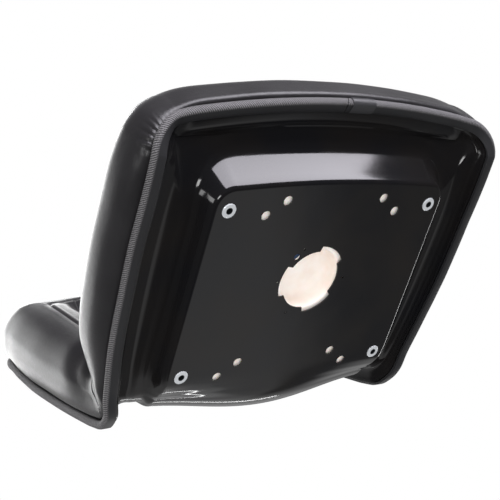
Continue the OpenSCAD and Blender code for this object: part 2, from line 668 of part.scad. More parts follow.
seat_shell();
rivet_nuts();
edge_trim();
trim_joint_sleeve();
seat_foam();
back_foam();
seat_wadding();
back_wadding();
seat_centre_panel();
seat_bolster_left();
seat_bolster_right();
seat_boxing();
back_centre_panel();
back_bolster_left();
back_bolster_right();
back_side_left();
back_side_right();
corner_gusset_left();
corner_gusset_right();
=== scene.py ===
import math

import bmesh
import bpy
import numpy as np
from mathutils import Matrix, Quaternion, Vector, kdtree, noise


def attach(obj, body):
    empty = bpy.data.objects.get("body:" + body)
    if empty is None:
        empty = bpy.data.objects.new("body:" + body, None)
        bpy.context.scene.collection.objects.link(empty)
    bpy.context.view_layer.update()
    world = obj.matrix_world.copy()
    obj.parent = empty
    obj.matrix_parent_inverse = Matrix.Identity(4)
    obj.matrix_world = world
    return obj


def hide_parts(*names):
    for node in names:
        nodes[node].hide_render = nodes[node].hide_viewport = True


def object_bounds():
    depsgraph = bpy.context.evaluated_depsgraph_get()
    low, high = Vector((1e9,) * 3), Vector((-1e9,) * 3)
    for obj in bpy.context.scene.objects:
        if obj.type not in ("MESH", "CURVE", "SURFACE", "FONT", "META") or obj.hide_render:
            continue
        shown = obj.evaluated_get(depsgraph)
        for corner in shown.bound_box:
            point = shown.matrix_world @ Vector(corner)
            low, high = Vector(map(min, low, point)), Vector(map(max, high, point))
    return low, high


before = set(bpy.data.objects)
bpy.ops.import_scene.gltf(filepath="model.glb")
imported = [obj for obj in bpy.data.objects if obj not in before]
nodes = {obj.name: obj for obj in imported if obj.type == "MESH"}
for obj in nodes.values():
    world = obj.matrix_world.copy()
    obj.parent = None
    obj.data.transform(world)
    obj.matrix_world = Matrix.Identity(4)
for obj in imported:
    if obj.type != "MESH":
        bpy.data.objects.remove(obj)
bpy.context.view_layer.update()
MM = 0.001
# Points closer than this, in metres, are made one
MERGE = 1e-6
# Edges that turn by more than this stay sharp
SHARP_DEG = 40
EDGING_SHARP_DEG = 50

# Side profile of the sheet
BEND_START = 132
BEND_R = 50
BEND_DEG = 70.4
BEND_END = BEND_START + BEND_R * math.radians(BEND_DEG)
BACK_LEN = 304.6
RIM_TOP = BEND_END + BACK_LEN

# The seat's edge: its width, its front, how far front and top bow out, its corner radii, and
# its height and the tilt of its flange along the front
RIM_W = 456
RIM_FRONT = 206
FRONT_BOW = 17
TOP_BOW = 24
RIM_CORNER_R = 36
TOP_CORNER_R = 45
FRONT_RIM_HIGH = 36
FRONT_TILT = 20

# The flat plate pressed into the sheet, and the trough round it. The middle of the plate's front
# edge stands PLATE_BOW further forward than its corners.
PLATE_W = 300
PLATE_FRONT = 127
PLATE_BOW = 5
PLATE_CORNER_R = 20
PLATE_TOP_IN = 60
CREST_IN = 44
SHEET_T = 1.5
TROUGH_SIDE = 24
TROUGH_BACK = 10
TROUGH_FRONT = 45
FLANGE_IN = 17.1
ROOF_END = FLANGE_IN + 8

# Edging, cushions and covers. The crests dip into the crease between seat and back, and the
# back's is thicker in its upper half, but lower along its top edge.
EDGING_T = 9.8
EDGING_DEPTH = 13.5
SEAT_CREST = 102
SEAT_HOLLOW = 14
BACK_CREST = 74
BACK_HOLLOW = 17
BACK_THICK = 4.5
TOP_DROP = 3
CREASE_DIP = 14
SIDE_BULGE = 13
FRONT_BULGE = 3.5
COVER_T = 1.1
CHANNEL_DEPTH = 4.5
CHANNEL_PITCH = 66

# Steps of half a loop: front edge, front corner, side stops, top corner and top edge. Columns
# stand at COLUMN_PART of the half width, and SIDE_STOPS lie along the sheet's side.
FRONT_STEPS = 5
CORNER_STEPS = 4
COLUMNS = 7
ROWS = 23
HALF_LOOP = 37
CREASE_ROW = 13
SEAM_COLUMN = 3
COLUMN_PART = np.array([0, 0.233, 0.467, 0.7, 0.78, 0.87, 0.95, 1])
FRONT_PART = COLUMN_PART[FRONT_STEPS]
SIDE_STOPS = np.concatenate([
    [-70, -30, 10, 50, 84, 111, 122],
    np.linspace(BEND_START, BEND_END, 6),
    BEND_END + np.array([0.07, 0.19, 0.35, 0.5, 0.63]) * BACK_LEN,
])
# Points made for each step of a loop on the sheet, and on the covers
FINE = 6
COVER_FINE = 5


def ease(t):
    t = np.clip(t, 0, 1)
    return t * t * (3 - 2 * t)


def mix(a, b, t):
    return a + (b - a) * t


def smooth_run(at, pairs):
    """Smooth curve through [place, value] pairs with no overshoot, level past both ends."""
    places, values = np.array(pairs, float).T
    step = np.diff(places)
    slope = np.diff(values) / step
    lean = np.zeros(len(places))
    same = slope[:-1] * slope[1:] > 0
    lean[1:-1][same] = 2 / (1 / slope[:-1][same] + 1 / slope[1:][same])
    at = np.clip(np.asarray(at, float), places[0], places[-1])
    k = np.clip(np.searchsorted(places, at, side="right") - 1, 0, len(step) - 1)
    t = (at - places[k]) / step[k]
    rise = values[k] + (values[k + 1] - values[k]) * t * t * (3 - 2 * t)
    bend = t * (1 - t) * step[k] * ((1 - t) * lean[k] - t * lean[k + 1])
    return rise + bend


def bend_angle(s):
    return BEND_DEG * np.clip((s - BEND_START) / (BEND_END - BEND_START), 0, 1)


def profile_point(x, s, h, angle):
    """Point at height h over the profile, where its normal leans back by angle."""
    turn, end, lean = (np.radians(a) for a in (bend_angle(s), BEND_DEG, angle))
    past = np.maximum(0, s - BEND_END)
    y = np.minimum(s, BEND_START) + BEND_R * np.sin(turn) + past * math.cos(end)
    z = BEND_R * (1 - np.cos(turn)) + past * math.sin(end)
    return np.stack(np.broadcast_arrays(x, y - h * np.sin(lean), z + h * np.cos(lean)), -1)


def sheet_point(xs, h):
    return profile_point(xs[0], xs[1], h, bend_angle(xs[1]))


# Share of the bend's angle that the cushions have turned by where they meet
FAN_SHARE = 0.46


def cushion_point(xs, h):
    """As sheet_point, but cushions fan out more slowly in the bend, and meet in a crease."""
    s = xs[1]
    rest = mix(FAN_SHARE, 1, ease((s - BEND_END) / (0.34 * BACK_LEN)))
    seat = FAN_SHARE * ease((s - 60) / (BEND_END - 60))
    fan = BEND_DEG * np.where(s < BEND_END, seat, rest)
    return profile_point(xs[0], s, h, mix(bend_angle(s), fan, ease((h - 16) / 34)))


def out_angle(i):
    """Direction out of a loop at step i, in degrees: -90 along the front, 90 along the top."""
    top = HALF_LOOP - FRONT_STEPS
    return np.interp(i, [FRONT_STEPS, FRONT_STEPS + CORNER_STEPS, top - CORNER_STEPS, top],
                     [-90, 0, 0, 90])


def outward(i):
    turn = np.radians(out_angle(i))
    return np.stack([np.cos(turn), np.sin(turn)])


class Outline:
    """Half of a loop round the sheet, from the middle of the front to the middle of the top.
    front and top are given as place, bow and corner radius, and half as a function of s."""

    def __init__(self, front, front_bow, front_r, top, top_bow, top_r, half):
        self.front = (front, front_bow, front_r)
        self.top = (top, top_bow, top_r)
        self.half = half
        self.stops = np.concatenate([
            [front + front_bow + front_r], SIDE_STOPS, [top - top_bow - top_r]])
        self.front_x = float(half(self.stops[0])) - front_r
        self.top_x = float(half(self.stops[-1])) - top_r

    def at(self, i):
        i = np.asarray(i, float)
        front, front_bow, front_r = self.front
        top, top_bow, top_r = self.top
        out = outward(i)
        steps = np.arange(FRONT_STEPS + 1)
        parts = COLUMN_PART[:FRONT_STEPS + 1] / FRONT_PART
        first = np.interp(i, steps, parts)
        last = np.interp(HALF_LOOP - i, steps, parts)
        s_side = np.interp(i - FRONT_STEPS - CORNER_STEPS, np.arange(len(self.stops)),
                           self.stops)
        before_corner = i <= FRONT_STEPS
        before_side = i < FRONT_STEPS + CORNER_STEPS
        before_top_corner = i <= HALF_LOOP - COLUMNS - CORNER_STEPS / 2
        before_top = i < HALF_LOOP - FRONT_STEPS
        places = [before_corner, before_side, before_top_corner, before_top]
        x = np.select(places, [self.front_x * first, self.front_x + front_r * out[0],
                               self.half(s_side), self.top_x + top_r * out[0]],
                      self.top_x * last)
        s = np.select(places, [front + front_bow * first ** 2,
                               front + front_bow + front_r + front_r * out[1],
                               s_side, top - top_bow - top_r + top_r * out[1]],
                      top - top_bow * last ** 2)
        return np.stack([x, s])


def rim_half(s):
    return RIM_W / 2 - smooth_run(s, [
        [-133, 0], [-60, 0], [0, 2], [40, 4.5], [75, 8], [117, 14], [140, 17], [165, 22],
        [190, 24.5], [300, 26], [400, 28], [440, 31]])


def plate_half(s):
    return PLATE_W / 2 - smooth_run(s, [[90, 0], [132, 4], [250, 10], [400, 12]])


def crest_half(s):
    return rim_half(s) - CREST_IN


CREST_R = (1 - FRONT_PART) * float(crest_half(0.0))
RIM = Outline(-RIM_FRONT, FRONT_BOW, RIM_CORNER_R, RIM_TOP, TOP_BOW, TOP_CORNER_R, rim_half)
PLATE = Outline(-PLATE_FRONT, PLATE_BOW, PLATE_CORNER_R,
                RIM_TOP - PLATE_TOP_IN, TOP_BOW, PLATE_CORNER_R, plate_half)
CREST = Outline(CREST_IN - RIM_FRONT, FRONT_BOW, CREST_R, RIM_TOP - CREST_IN, TOP_BOW, CREST_R,
                crest_half)


def front_share(i):
    """1 along the front edge, 0 from the end of its corner on."""
    return 1 - ease((i - FRONT_STEPS + 1) / (CORNER_STEPS + 2))


def rim_height(i):
    side = smooth_run(RIM.at(i)[1], [
        [-133, 11.5], [-99, 12.5], [-60, 14], [0, 14], [35, 15], [75, 16], [117, 16], [132, 15],
        [144, 13], [157, 10], [169, 7.5], [181, 4], [193, 2], [215, -1], [300, -6], [350, -7],
        [400, -4], [430, -1.5]])
    return mix(side, FRONT_RIM_HIGH, front_share(i))


def trough(i):
    """Height of the roof of the trough round the plate."""
    side = mix(TROUGH_SIDE, TROUGH_BACK, ease((RIM.at(i)[1] - BEND_END + 12) / 70))
    return mix(side, TROUGH_FRONT, front_share(i))


def arch(xs):
    """Rise of the plate's sides towards the bend, where its middle bows out."""
    rise = smooth_run(xs[1], [[105, 0], [122, 5], [132, 11], [145, 16.5], [200, 17], [270, 8],
                              [500, 6]])
    return rise * (1 - np.cos(np.pi * np.minimum(1, np.abs(xs[0]) / 170))) / 2


def rim_frame(i):
    """Directions at the rim: out of the sheet's edge, and across it to the cushion's side."""
    turn = np.radians(bend_angle(RIM.at(i)[1]))
    tilt = np.radians(FRONT_TILT * front_share(i))
    o = outward(i)
    flat = np.stack([o[0], o[1] * np.cos(turn), o[1] * np.sin(turn)], -1)
    up = np.stack([0 * turn, -np.sin(turn), np.cos(turn)], -1)
    cos, sin = np.cos(tilt)[..., None], np.sin(tilt)[..., None]
    return cos * flat - sin * up, sin * flat + cos * up


def rim_point(i, e, h):
    out, across = rim_frame(i)
    e = np.broadcast_to(e, np.shape(i))[..., None]
    h = np.broadcast_to(h, np.shape(i))[..., None]
    return sheet_point(RIM.at(i), rim_height(i)) + e * out + h * across


def grid_place(outline, u, c):
    """Place on the inner grid, whose own outline is the loop: u counts rows, c columns."""
    k = np.abs(c)
    edge = outline.at(COLUMNS + u)
    first, last = outline.at(COLUMNS), outline.at(HALF_LOOP - COLUMNS)
    front = 1 - np.clip(u / 3, 0, 1)
    top = 1 - np.clip((ROWS - u) / 3, 0, 1)
    side_part = np.interp(k, np.arange(COLUMNS + 1), COLUMN_PART)
    front_point = outline.at(k)
    top_point = outline.at(HALF_LOOP - k)
    part = (side_part + front * (front_point[0] / first[0] - side_part)
            + top * (top_point[0] / last[0] - side_part))
    s = edge[1] + front * (front_point[1] - first[1]) + top * (top_point[1] - last[1])
    return np.stack([np.sign(c) * edge[0] * part, s])


def ring_place(i):
    """Row and column of the inner grid at step i of a half loop."""
    i = np.asarray(i, float)
    return (np.clip(i - COLUMNS, 0, ROWS),
            np.minimum(np.minimum(i, COLUMNS), HALF_LOOP - i))


def crest_height(u, c):
    s = grid_place(CREST, u, c)[1]
    middle = mix(SEAT_CREST, BACK_CREST, 0.7)
    base = np.where(s < BEND_END, mix(SEAT_CREST, middle, ease((s - 90) / (BEND_END - 90))),
                    mix(middle, BACK_CREST, ease((s - BEND_END) / 60)))
    dip = CREASE_DIP * ease(1 - np.abs(s - SIDE_STOPS[CREASE_ROW - 3]) / 30)
    plain = ease(u / 2.5) * ease((ROWS - u) / 2.5)
    share = smooth_run(np.abs(c), [[0, 1], [2, 0.95], [3, 1], [4, 0.5], [5, 0.08], [6, 0],
                                   [7, 0]])
    hollow = share * mix(SEAT_HOLLOW, BACK_HOLLOW, ease((s - 100) / 140))
    thick = BACK_THICK * ease((s - BEND_END - 100) / 120) * ease((s - BEND_END) / 10)
    return base - dip - plain * hollow + thick - TOP_DROP * (1 - ease((ROWS - u) / 2))


def crest_point(u, c, depth):
    return cushion_point(grid_place(CREST, u, c), crest_height(u, c) - depth)


# Cushion section from the crest seam down to the hem, which folds round the edging's lip. Each
# row has its place out from the rim and its share of the bulge. SKIRT_SHARE gives the first
# rows' height as a share of the crest's, and SKIRT_LOW that of the last two over the rim.
SKIRT_OUT = [-CREST_IN, -28, -13, -4, 0, 0, 0, -1, -3.5]
BULGE_SHARE = [0, 0, 0, 0.45, 0.95, 1, 0.85, 0.45, 0]
SKIRT_SHARE = [1, 0.985, 0.92, 0.76, 0.58, 0.42, 0.27]
LIP_TOP = EDGING_T / 2 + 0.1
SLEEVE_ROOM = 1.4
SKIRT_LOW = [LIP_TOP + 6.5, LIP_TOP + SLEEVE_ROOM + 0.5]
HEM_HIGH = SHEET_T / 2 + 0.8 + COVER_T
HEM_DEPTH = EDGING_DEPTH + 0.8
FOLD = [[-EDGING_DEPTH + 0.1, LIP_TOP + SLEEVE_ROOM], [-HEM_DEPTH, LIP_TOP - 0.6],
        [-HEM_DEPTH, HEM_HIGH], [-4.6, HEM_HIGH]]


def bulge(i):
    side = SIDE_BULGE * smooth_run(RIM.at(i)[1], [
        [-60, 1], [0, 1], [60, 0.8], [100, 0.5], [132, 0.2], [157, 0], [200, 0.1], [260, 0.45],
        [400, 0.45]])
    return mix(side, FRONT_BULGE, front_share(i))


def cover_rows(i, depth):
    """Rows of points down the cushion's side at the steps i, moved inwards by depth."""
    i = np.asarray(i, float)
    u, c = ring_place(i)
    top = crest_height(u, c) - rim_height(i)
    swell = bulge(i)
    highs = [top * share for share in SKIRT_SHARE] + [low + 0 * top for low in SKIRT_LOW]
    rows = [np.stack([out + swell * share, high])
            for out, share, high in zip(SKIRT_OUT, BULGE_SHARE, highs)]
    rows += [np.stack([e + 0 * top, h + 0 * top]) for e, h in FOLD]
    line = np.stack(rows)
    steps = np.diff(line, axis=0)
    steps /= np.linalg.norm(steps, axis=1, keepdims=True)
    before = np.concatenate([steps[:1], steps])
    after = np.concatenate([steps, steps[-1:]])
    n1, n2 = (np.stack([v[:, 1], -v[:, 0]], 1) for v in (before, after))
    line = line + depth * (n1 + n2) / (1 + (n1 * n2).sum(1, keepdims=True))
    rim, out = RIM.at(i), outward(i)
    made = []
    for j, (e, h) in enumerate(line):
        free = cushion_point(rim + e * out, rim_height(i) + h)
        held = rim_point(i, e, h)
        share = 0 if j < len(SKIRT_SHARE) else 0.5 if j == len(SKIRT_SHARE) else 1
        made.append(mix(free, held, share))
    return np.stack(made)


def smooth_rows(rows, per):
    """Rows on smooth curves across the given rows, with per of them to each step."""
    p = np.asarray(rows, float)
    per = [per] * (len(p) - 1) if isinstance(per, int) else per
    step = np.maximum(np.linalg.norm(np.diff(p, axis=0), axis=2, keepdims=True), 1e-6)
    slope = np.diff(p, axis=0) / step
    inner = (slope[:-1] * step[1:] + slope[1:] * step[:-1]) / (step[:-1] + step[1:])
    lean = np.concatenate([slope[:1], inner, slope[-1:]])
    made = [p[0]]
    for j, count in enumerate(per):
        for t in np.arange(1, count + 1) / count:
            rise = p[j] + (p[j + 1] - p[j]) * t * t * (3 - 2 * t)
            made.append(rise + t * (1 - t) * step[j] * ((1 - t) * lean[j] - t * lean[j + 1]))
    return np.stack(made)


def mirrored(points, side):
    return points * np.stack([side, 0 * side + 1, 0 * side + 1], -1)


def half_loop(k):
    """Step of the half loop, and side, for steps k round the whole loop or back from its start."""
    around = np.where(k > HALF_LOOP, 2 * HALF_LOOP - k, np.abs(k))
    return around, np.where((k > HALF_LOOP) | (k < 0), -1.0, 1.0)


def loop_steps():
    """Steps and sides all round the loop, at FINE points to a step."""
    return half_loop(np.arange(2 * HALF_LOOP * FINE + 1) / FINE)


def grid_steps():
    """Rows and columns of the whole inner grid, at FINE points to a step."""
    return np.meshgrid(np.arange(ROWS * FINE + 1) / FINE,
                       np.arange(-COLUMNS * FINE, COLUMNS * FINE + 1) / FINE, indexing="ij")


def grid_bmesh(places):
    """bmesh of a grid with its vertices at places[row, column]."""
    rows, columns = places.shape[:2]
    bm = bmesh.new()
    bmesh.ops.create_grid(bm, x_segments=columns - 1, y_segments=rows - 1, size=1)
    for vert, place in zip(bm.verts, places.reshape(-1, 3)):
        vert.co = place * MM
    bm.verts.ensure_lookup_table()
    return bm


def skirt(bm, ring, rows, closed):
    """Extrudes a run of vertices outwards, once to each row of places."""
    for row in rows:
        after = ring[1:] + ring[:1] if closed else ring[1:]
        edges = [bm.edges.get(pair) for pair in zip(ring, after)]
        grown = bmesh.ops.extrude_edge_only(bm, edges=edges)["geom"]
        old = set(ring)
        above = {}
        for vert in grown:
            if isinstance(vert, bmesh.types.BMVert):
                for edge in vert.link_edges:
                    if edge.other_vert(vert) in old:
                        above[edge.other_vert(vert)] = vert
        ring = [above[vert] for vert in ring]
        for vert, place in zip(ring, row):
            vert.co = place * MM
    return ring


def smooth_faces(mesh):
    mesh.polygons.foreach_set("use_smooth", [True] * len(mesh.polygons))


def sharp_edges(mesh, over_deg):
    mesh.set_sharp_from_angle(angle=math.radians(over_deg))


def finish_mesh(name, bm):
    mesh = bpy.data.meshes.new(name)
    bm.to_mesh(mesh)
    bm.free()
    smooth_faces(mesh)
    piece = bpy.data.objects.new(name, mesh)
    bpy.context.scene.collection.objects.link(piece)
    return piece


def apply_modifiers(piece):
    """Turns what the piece's modifiers make into its own mesh."""
    graph = bpy.context.evaluated_depsgraph_get()
    graph.update()
    made = bpy.data.meshes.new_from_object(piece.evaluated_get(graph),
                                           preserve_all_data_layers=True, depsgraph=graph)
    piece.modifiers.clear()
    old = piece.data
    piece.data = made
    bpy.data.meshes.remove(old)
    made.name = piece.name
    return piece


def mesh_points(mesh):
    """Places and normals of a mesh's vertices."""
    places, normals = (np.empty(3 * len(mesh.vertices)) for _ in range(2))
    mesh.vertices.foreach_get("co", places)
    mesh.vertex_normals.foreach_get("vector", normals)
    return places.reshape(-1, 3), normals.reshape(-1, 3)


def move_points(mesh, places):
    mesh.vertices.foreach_set("co", places.ravel())


def linear(code):
    """Linear RGBA of an sRGB hex colour."""
    parts = [int(code[k:k + 2], 16) / 255 for k in (1, 3, 5)]
    return [p / 12.92 if p <= 0.04045 else ((p + 0.055) / 1.055) ** 2.4 for p in parts] + [1]


def add_node(tree, kind, inputs=None, **settings):
    """Adds a shader node with its settings; an input is a value or the socket that feeds it."""
    made = tree.nodes.new("ShaderNode" + kind)
    for name, value in settings.items():
        setattr(made, name, value)
    for name, value in (inputs or {}).items():
        if isinstance(value, bpy.types.NodeSocket):
            tree.links.new(value, made.inputs[name])
        else:
            made.inputs[name].default_value = value
    return made


def new_material(name):
    """An empty material with a surface shader: returns the material, its tree and the shader."""
    material = bpy.data.materials.new(name)
    material.use_nodes = True
    tree = material.node_tree
    tree.nodes.clear()
    shader = add_node(tree, "BsdfPrincipled")
    out = add_node(tree, "OutputMaterial")
    tree.links.new(shader.outputs[0], out.inputs[0])
    return material, tree, shader


def between(tree, factor, low, high, low_to, high_to):
    return add_node(tree, "MapRange", {"Value": factor, "From Min": low, "From Max": high,
                                       "To Min": low_to, "To Max": high_to}).outputs[0]


def blend_colours(tree, factor, first, second):
    made = add_node(tree, "Mix", data_type="RGBA")
    for socket, value in ((made.inputs[0], factor), (made.inputs[6], first),
                          (made.inputs[7], second)):
        if isinstance(value, bpy.types.NodeSocket):
            tree.links.new(value, socket)
        else:
            socket.default_value = value
    return made.outputs[2]


def metre_scale(size_mm):
    """Texture scale at which one cell or wave is size_mm wide."""
    return 1000 / size_mm


def wave_scale(size_mm):
    """Scale of a wave texture whose bands repeat every size_mm."""
    return 2 * math.pi / 20 * metre_scale(size_mm)


def stoved_enamel():
    """Gloss black stoving enamel on pressed steel: deep black, wet gloss, faint orange peel."""
    material, tree, shader = new_material("stoved_enamel")
    where = add_node(tree, "TexCoord").outputs["Object"]
    peel = add_node(tree, "TexNoise", {"Vector": where, "Scale": metre_scale(5), "Detail": 2})
    waves = add_node(tree, "TexNoise", {"Vector": where, "Scale": metre_scale(60), "Detail": 1})
    film = add_node(tree, "TexNoise", {"Vector": where, "Scale": metre_scale(90), "Detail": 3})
    colour = blend_colours(tree, between(tree, film.outputs[0], 0.4, 0.7, 0, 1),
                           linear("#111113"), linear("#161413"))
    tree.links.new(colour, shader.inputs["Base Color"])
    tree.links.new(between(tree, film.outputs[0], 0.3, 0.7, 0.08, 0.14),
                   shader.inputs["Roughness"])
    fine = add_node(tree, "Bump", {"Height": peel.outputs[0], "Strength": 0.04,
                                   "Distance": 0.0003})
    broad = add_node(tree, "Bump", {"Height": waves.outputs[0], "Strength": 0.15,
                                    "Distance": 0.001, "Normal": fine.outputs[0]})
    tree.links.new(broad.outputs[0], shader.inputs["Normal"])
    shader.inputs["IOR"].default_value = 1.5
    return material


def bright_zinc():
    """Bright zinc plate on steel nuts: pale metal, slightly clouded by the plating bath, with
    painted shade that darkens the threads inside the bores."""
    material, tree, shader = new_material("bright_zinc")
    where = add_node(tree, "TexCoord").outputs["Object"]
    cloud = add_node(tree, "TexNoise", {"Vector": where, "Scale": metre_scale(3), "Detail": 3})
    plate = blend_colours(tree, cloud.outputs[0], linear("#f4f6f8"), linear("#dfe4ea"))
    corner = add_node(tree, "VectorMath", {0: where}, operation="ABSOLUTE")
    apart = add_node(tree, "VectorMath", {0: corner.outputs[0], 1: INSERT_AXIS},
                     operation="SUBTRACT")
    flat = add_node(tree, "VectorMath", {0: apart.outputs[0], 1: (1, 1, 0)},
                    operation="MULTIPLY")
    radius = add_node(tree, "VectorMath", {0: flat.outputs[0]}, operation="LENGTH")
    # Painted shade: the zinc inside each bore is drawn dark, where shade falls in the threads.
    bore_shade = between(tree, radius.outputs["Value"], BORE_R, BORE_R + 0.0005, 1, 0)
    colour = blend_colours(tree, bore_shade, plate, linear("#2c3034"))
    tree.links.new(colour, shader.inputs["Base Color"])
    tree.links.new(between(tree, cloud.outputs[0], 0.3, 0.7, 0.35, 0.55),
                   shader.inputs["Roughness"])
    shader.inputs["Metallic"].default_value = 0.6
    return material


def grained_vinyl():
    """Black calendered vinyl with a fine leather grain: dull black, soft sheen at its edges."""
    material, tree, shader = new_material("grained_vinyl")
    where = add_node(tree, "TexCoord").outputs["Object"]
    cells = add_node(tree, "TexVoronoi", {"Vector": where, "Scale": metre_scale(1.6)},
                     feature="DISTANCE_TO_EDGE")
    folds = add_node(tree, "TexNoise", {"Vector": where, "Scale": metre_scale(4), "Detail": 4})
    broad = add_node(tree, "TexNoise", {"Vector": where, "Scale": metre_scale(70), "Detail": 2})
    colour = blend_colours(tree, between(tree, broad.outputs[0], 0.35, 0.65, 0, 1),
                           linear("#1c1b1d"), linear("#242325"))
    tree.links.new(colour, shader.inputs["Base Color"])
    tree.links.new(between(tree, folds.outputs[0], 0.3, 0.7, 0.31, 0.39),
                   shader.inputs["Roughness"])
    shader.inputs["Specular IOR Level"].default_value = 0.42
    valleys = between(tree, cells.outputs[0], 0, 0.12, 0, 1)
    grain = add_node(tree, "Bump", {"Height": valleys, "Strength": 0.25, "Distance": 0.0001})
    soft = add_node(tree, "Bump", {"Height": folds.outputs[0], "Strength": 0.2,
                                   "Distance": 0.0006, "Normal": grain.outputs[0]})
    tree.links.new(soft.outputs[0], shader.inputs["Normal"])
    shader.inputs["Sheen Weight"].default_value = 0.15
    shader.inputs["Sheen Roughness"].default_value = 0.4
    return material


def woven_edging():
    """PVC edging moulded with a woven grain on its nose: matt charcoal, fine slanting ribs. The
    ribs are painted pale, partly the weave's own relief and partly a painted highlight for the
    light that the nose catches, while the legs stay plain dark.
    The ribs are drawn 2 mm apart, where the real ones look like 1.2 mm, so that they show.
    Its UV map is in metres along the edge and round the section from the cushion's side."""
    material, tree, shader = new_material("woven_edging")
    spot = add_node(tree, "UVMap", uv_map="run").outputs[0]
    split = add_node(tree, "SeparateXYZ", {"Vector": spot})
    slant = add_node(tree, "Mapping", {"Vector": spot, "Rotation": (0, 0, 0.6)})
    ribs = add_node(tree, "TexWave", {"Vector": slant.outputs[0], "Scale": wave_scale(2.0),
                                      "Distortion": 1.8, "Detail": 2, "Detail Scale": 2},
                    wave_type="BANDS", bands_direction="X")
    cross = add_node(tree, "TexNoise", {"Vector": spot, "Scale": metre_scale(1.1), "Detail": 2})
    weave = add_node(tree, "Math", {0: ribs.outputs[1], 1: cross.outputs[0]},
                     operation="MULTIPLY")
    nose = add_node(tree, "Math", {0: between(tree, split.outputs[1], NOSE[0], NOSE[1], 0, 1),
                                   1: between(tree, split.outputs[1], NOSE[2], NOSE[3], 1, 0)},
                    operation="MULTIPLY")
    grain = add_node(tree, "Math", {0: weave.outputs[0], 1: nose.outputs[0]},
                     operation="MULTIPLY")
    # Painted highlight: the ribs on the nose are drawn pale grey over the charcoal, standing for
    # the light that the weave catches.
    colour = blend_colours(tree, between(tree, grain.outputs[0], 0.05, 0.5, 0, 1),
                           linear("#232325"), linear("#706e70"))
    tree.links.new(colour, shader.inputs["Base Color"])
    tree.links.new(between(tree, nose.outputs[0], 0, 1, 0.5, 0.7), shader.inputs["Roughness"])
    shader.inputs["Specular IOR Level"].default_value = 0.35
    relief = add_node(tree, "Bump", {"Height": grain.outputs[0], "Strength": 0.9,
                                     "Distance": 0.0005})
    tree.links.new(relief.outputs[0], shader.inputs["Normal"])
    return material


def smooth_sleeve():
    """Heat-shrunk PVC sleeve: smooth black, satin."""
    material, tree, shader = new_material("smooth_sleeve")
    where = add_node(tree, "TexCoord").outputs["Object"]
    marks = add_node(tree, "TexNoise", {"Vector": where, "Scale": metre_scale(8), "Detail": 3})
    colour = blend_colours(tree, marks.outputs[0], linear("#29292b"), linear("#343436"))
    tree.links.new(colour, shader.inputs["Base Color"])
    tree.links.new(between(tree, marks.outputs[0], 0.3, 0.7, 0.35, 0.5),
                   shader.inputs["Roughness"])
    return material


def moulded_foam():
    """Cream cold-cure polyurethane foam: pale warm skin with fine open pores."""
    material, tree, shader = new_material("moulded_foam")
    where = add_node(tree, "TexCoord").outputs["Object"]
    pores = add_node(tree, "TexVoronoi", {"Vector": where, "Scale": metre_scale(1.4)})
    patches = add_node(tree, "TexNoise", {"Vector": where, "Scale": metre_scale(22), "Detail": 3})
    body = blend_colours(tree, between(tree, patches.outputs[0], 0.4, 0.68, 0, 1),
                         linear("#fbf4ee"), linear("#f4e8de"))
    # A dark blue disc painted on the foam behind the stop hole.
    near = add_node(tree, "VectorMath", {0: where, 1: BLUE_DISC_SPOT}, operation="DISTANCE")
    blue_disc = between(tree, near.outputs["Value"], 0.0065, 0.008, 1, 0)
    colour = blend_colours(tree, blue_disc, body, linear("#2f4468"))
    tree.links.new(colour, shader.inputs["Base Color"])
    shader.inputs["Roughness"].default_value = 0.85
    shader.inputs["Subsurface Weight"].default_value = 0.1
    shader.inputs["Subsurface Scale"].default_value = 0.002
    pits = between(tree, pores.outputs["Distance"], 0, 0.5, 0, 1)
    relief = add_node(tree, "Bump", {"Height": pits, "Strength": 0.3, "Distance": 0.0004})
    tree.links.new(relief.outputs[0], shader.inputs["Normal"])
    return material


def polyester_wadding():
    """White polyester wadding: matt, fibrous."""
    material, tree, shader = new_material("polyester_wadding")
    where = add_node(tree, "TexCoord").outputs["Object"]
    fibres = add_node(tree, "TexNoise", {"Vector": where, "Scale": metre_scale(3), "Detail": 6,
                                         "Distortion": 2})
    colour = blend_colours(tree, fibres.outputs[0], linear("#f4f1ea"), linear("#dfdbd2"))
    tree.links.new(colour, shader.inputs["Base Color"])
    shader.inputs["Roughness"].default_value = 0.95
    relief = add_node(tree, "Bump", {"Height": fibres.outputs[0], "Strength": 0.6,
                                     "Distance": 0.001})
    tree.links.new(relief.outputs[0], shader.inputs["Normal"])
    return material


def dress(piece, material, slot, *replaced, fill=None):
    """Gives a finished piece its material and its body, and hides the nodes that it stands for;
    its slot is not used.
    """
    piece.data.materials.clear()
    piece.data.materials.append(material)
    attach(piece, "root")
    if replaced:
        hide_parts(*replaced)
    return piece


# Places that materials read, in metres: the axis of an insert and the radius of its bore, inside
# which painted shade darkens the zinc, the dark blue disc painted on the foam behind the stop
# hole, and where the edging's woven nose, whose ribs carry a painted highlight, starts, is full,
# starts to end and ends, measured round its section
INSERT_AXIS = (0.135, 0.1, 0)
BORE_R = 0.0035
BLUE_DISC_SPOT = (-0.0295, -0.0407, 0.0025)
NOSE = (0.0085, 0.0100, 0.0215, 0.0245)

enamel = stoved_enamel()
zinc = bright_zinc()
vinyl = grained_vinyl()
edging = woven_edging()
sleeve_pvc = smooth_sleeve()
foam = moulded_foam()
wadding = polyester_wadding()


# Pressed sheet: the plate with its arch, the wall, roof and outer wall of the trough, the flange.
# WALL holds the wall's rows as run out from the plate and share of its height, FRONT_RUN the
# runs of the same rows along the front, where the wall leans out more, and ROOF_EDGE the share of
# the height at which the arched roof starts.
WALL = [[0, 0], [1.5, 0.008], [3, 0.045], [4.5, 0.13], [6, 0.27], [8, 0.5], [10.5, 0.75],
        [13, 0.885], [15.5, 0.95], [19, 0.988], [23, 1]]
FRONT_RUN = [0, 1.6, 3.2, 5.4, 8.2, 13.3, 19.8, 24.5, 28.2, 32, 36]
ROOF_EDGE = 0.91
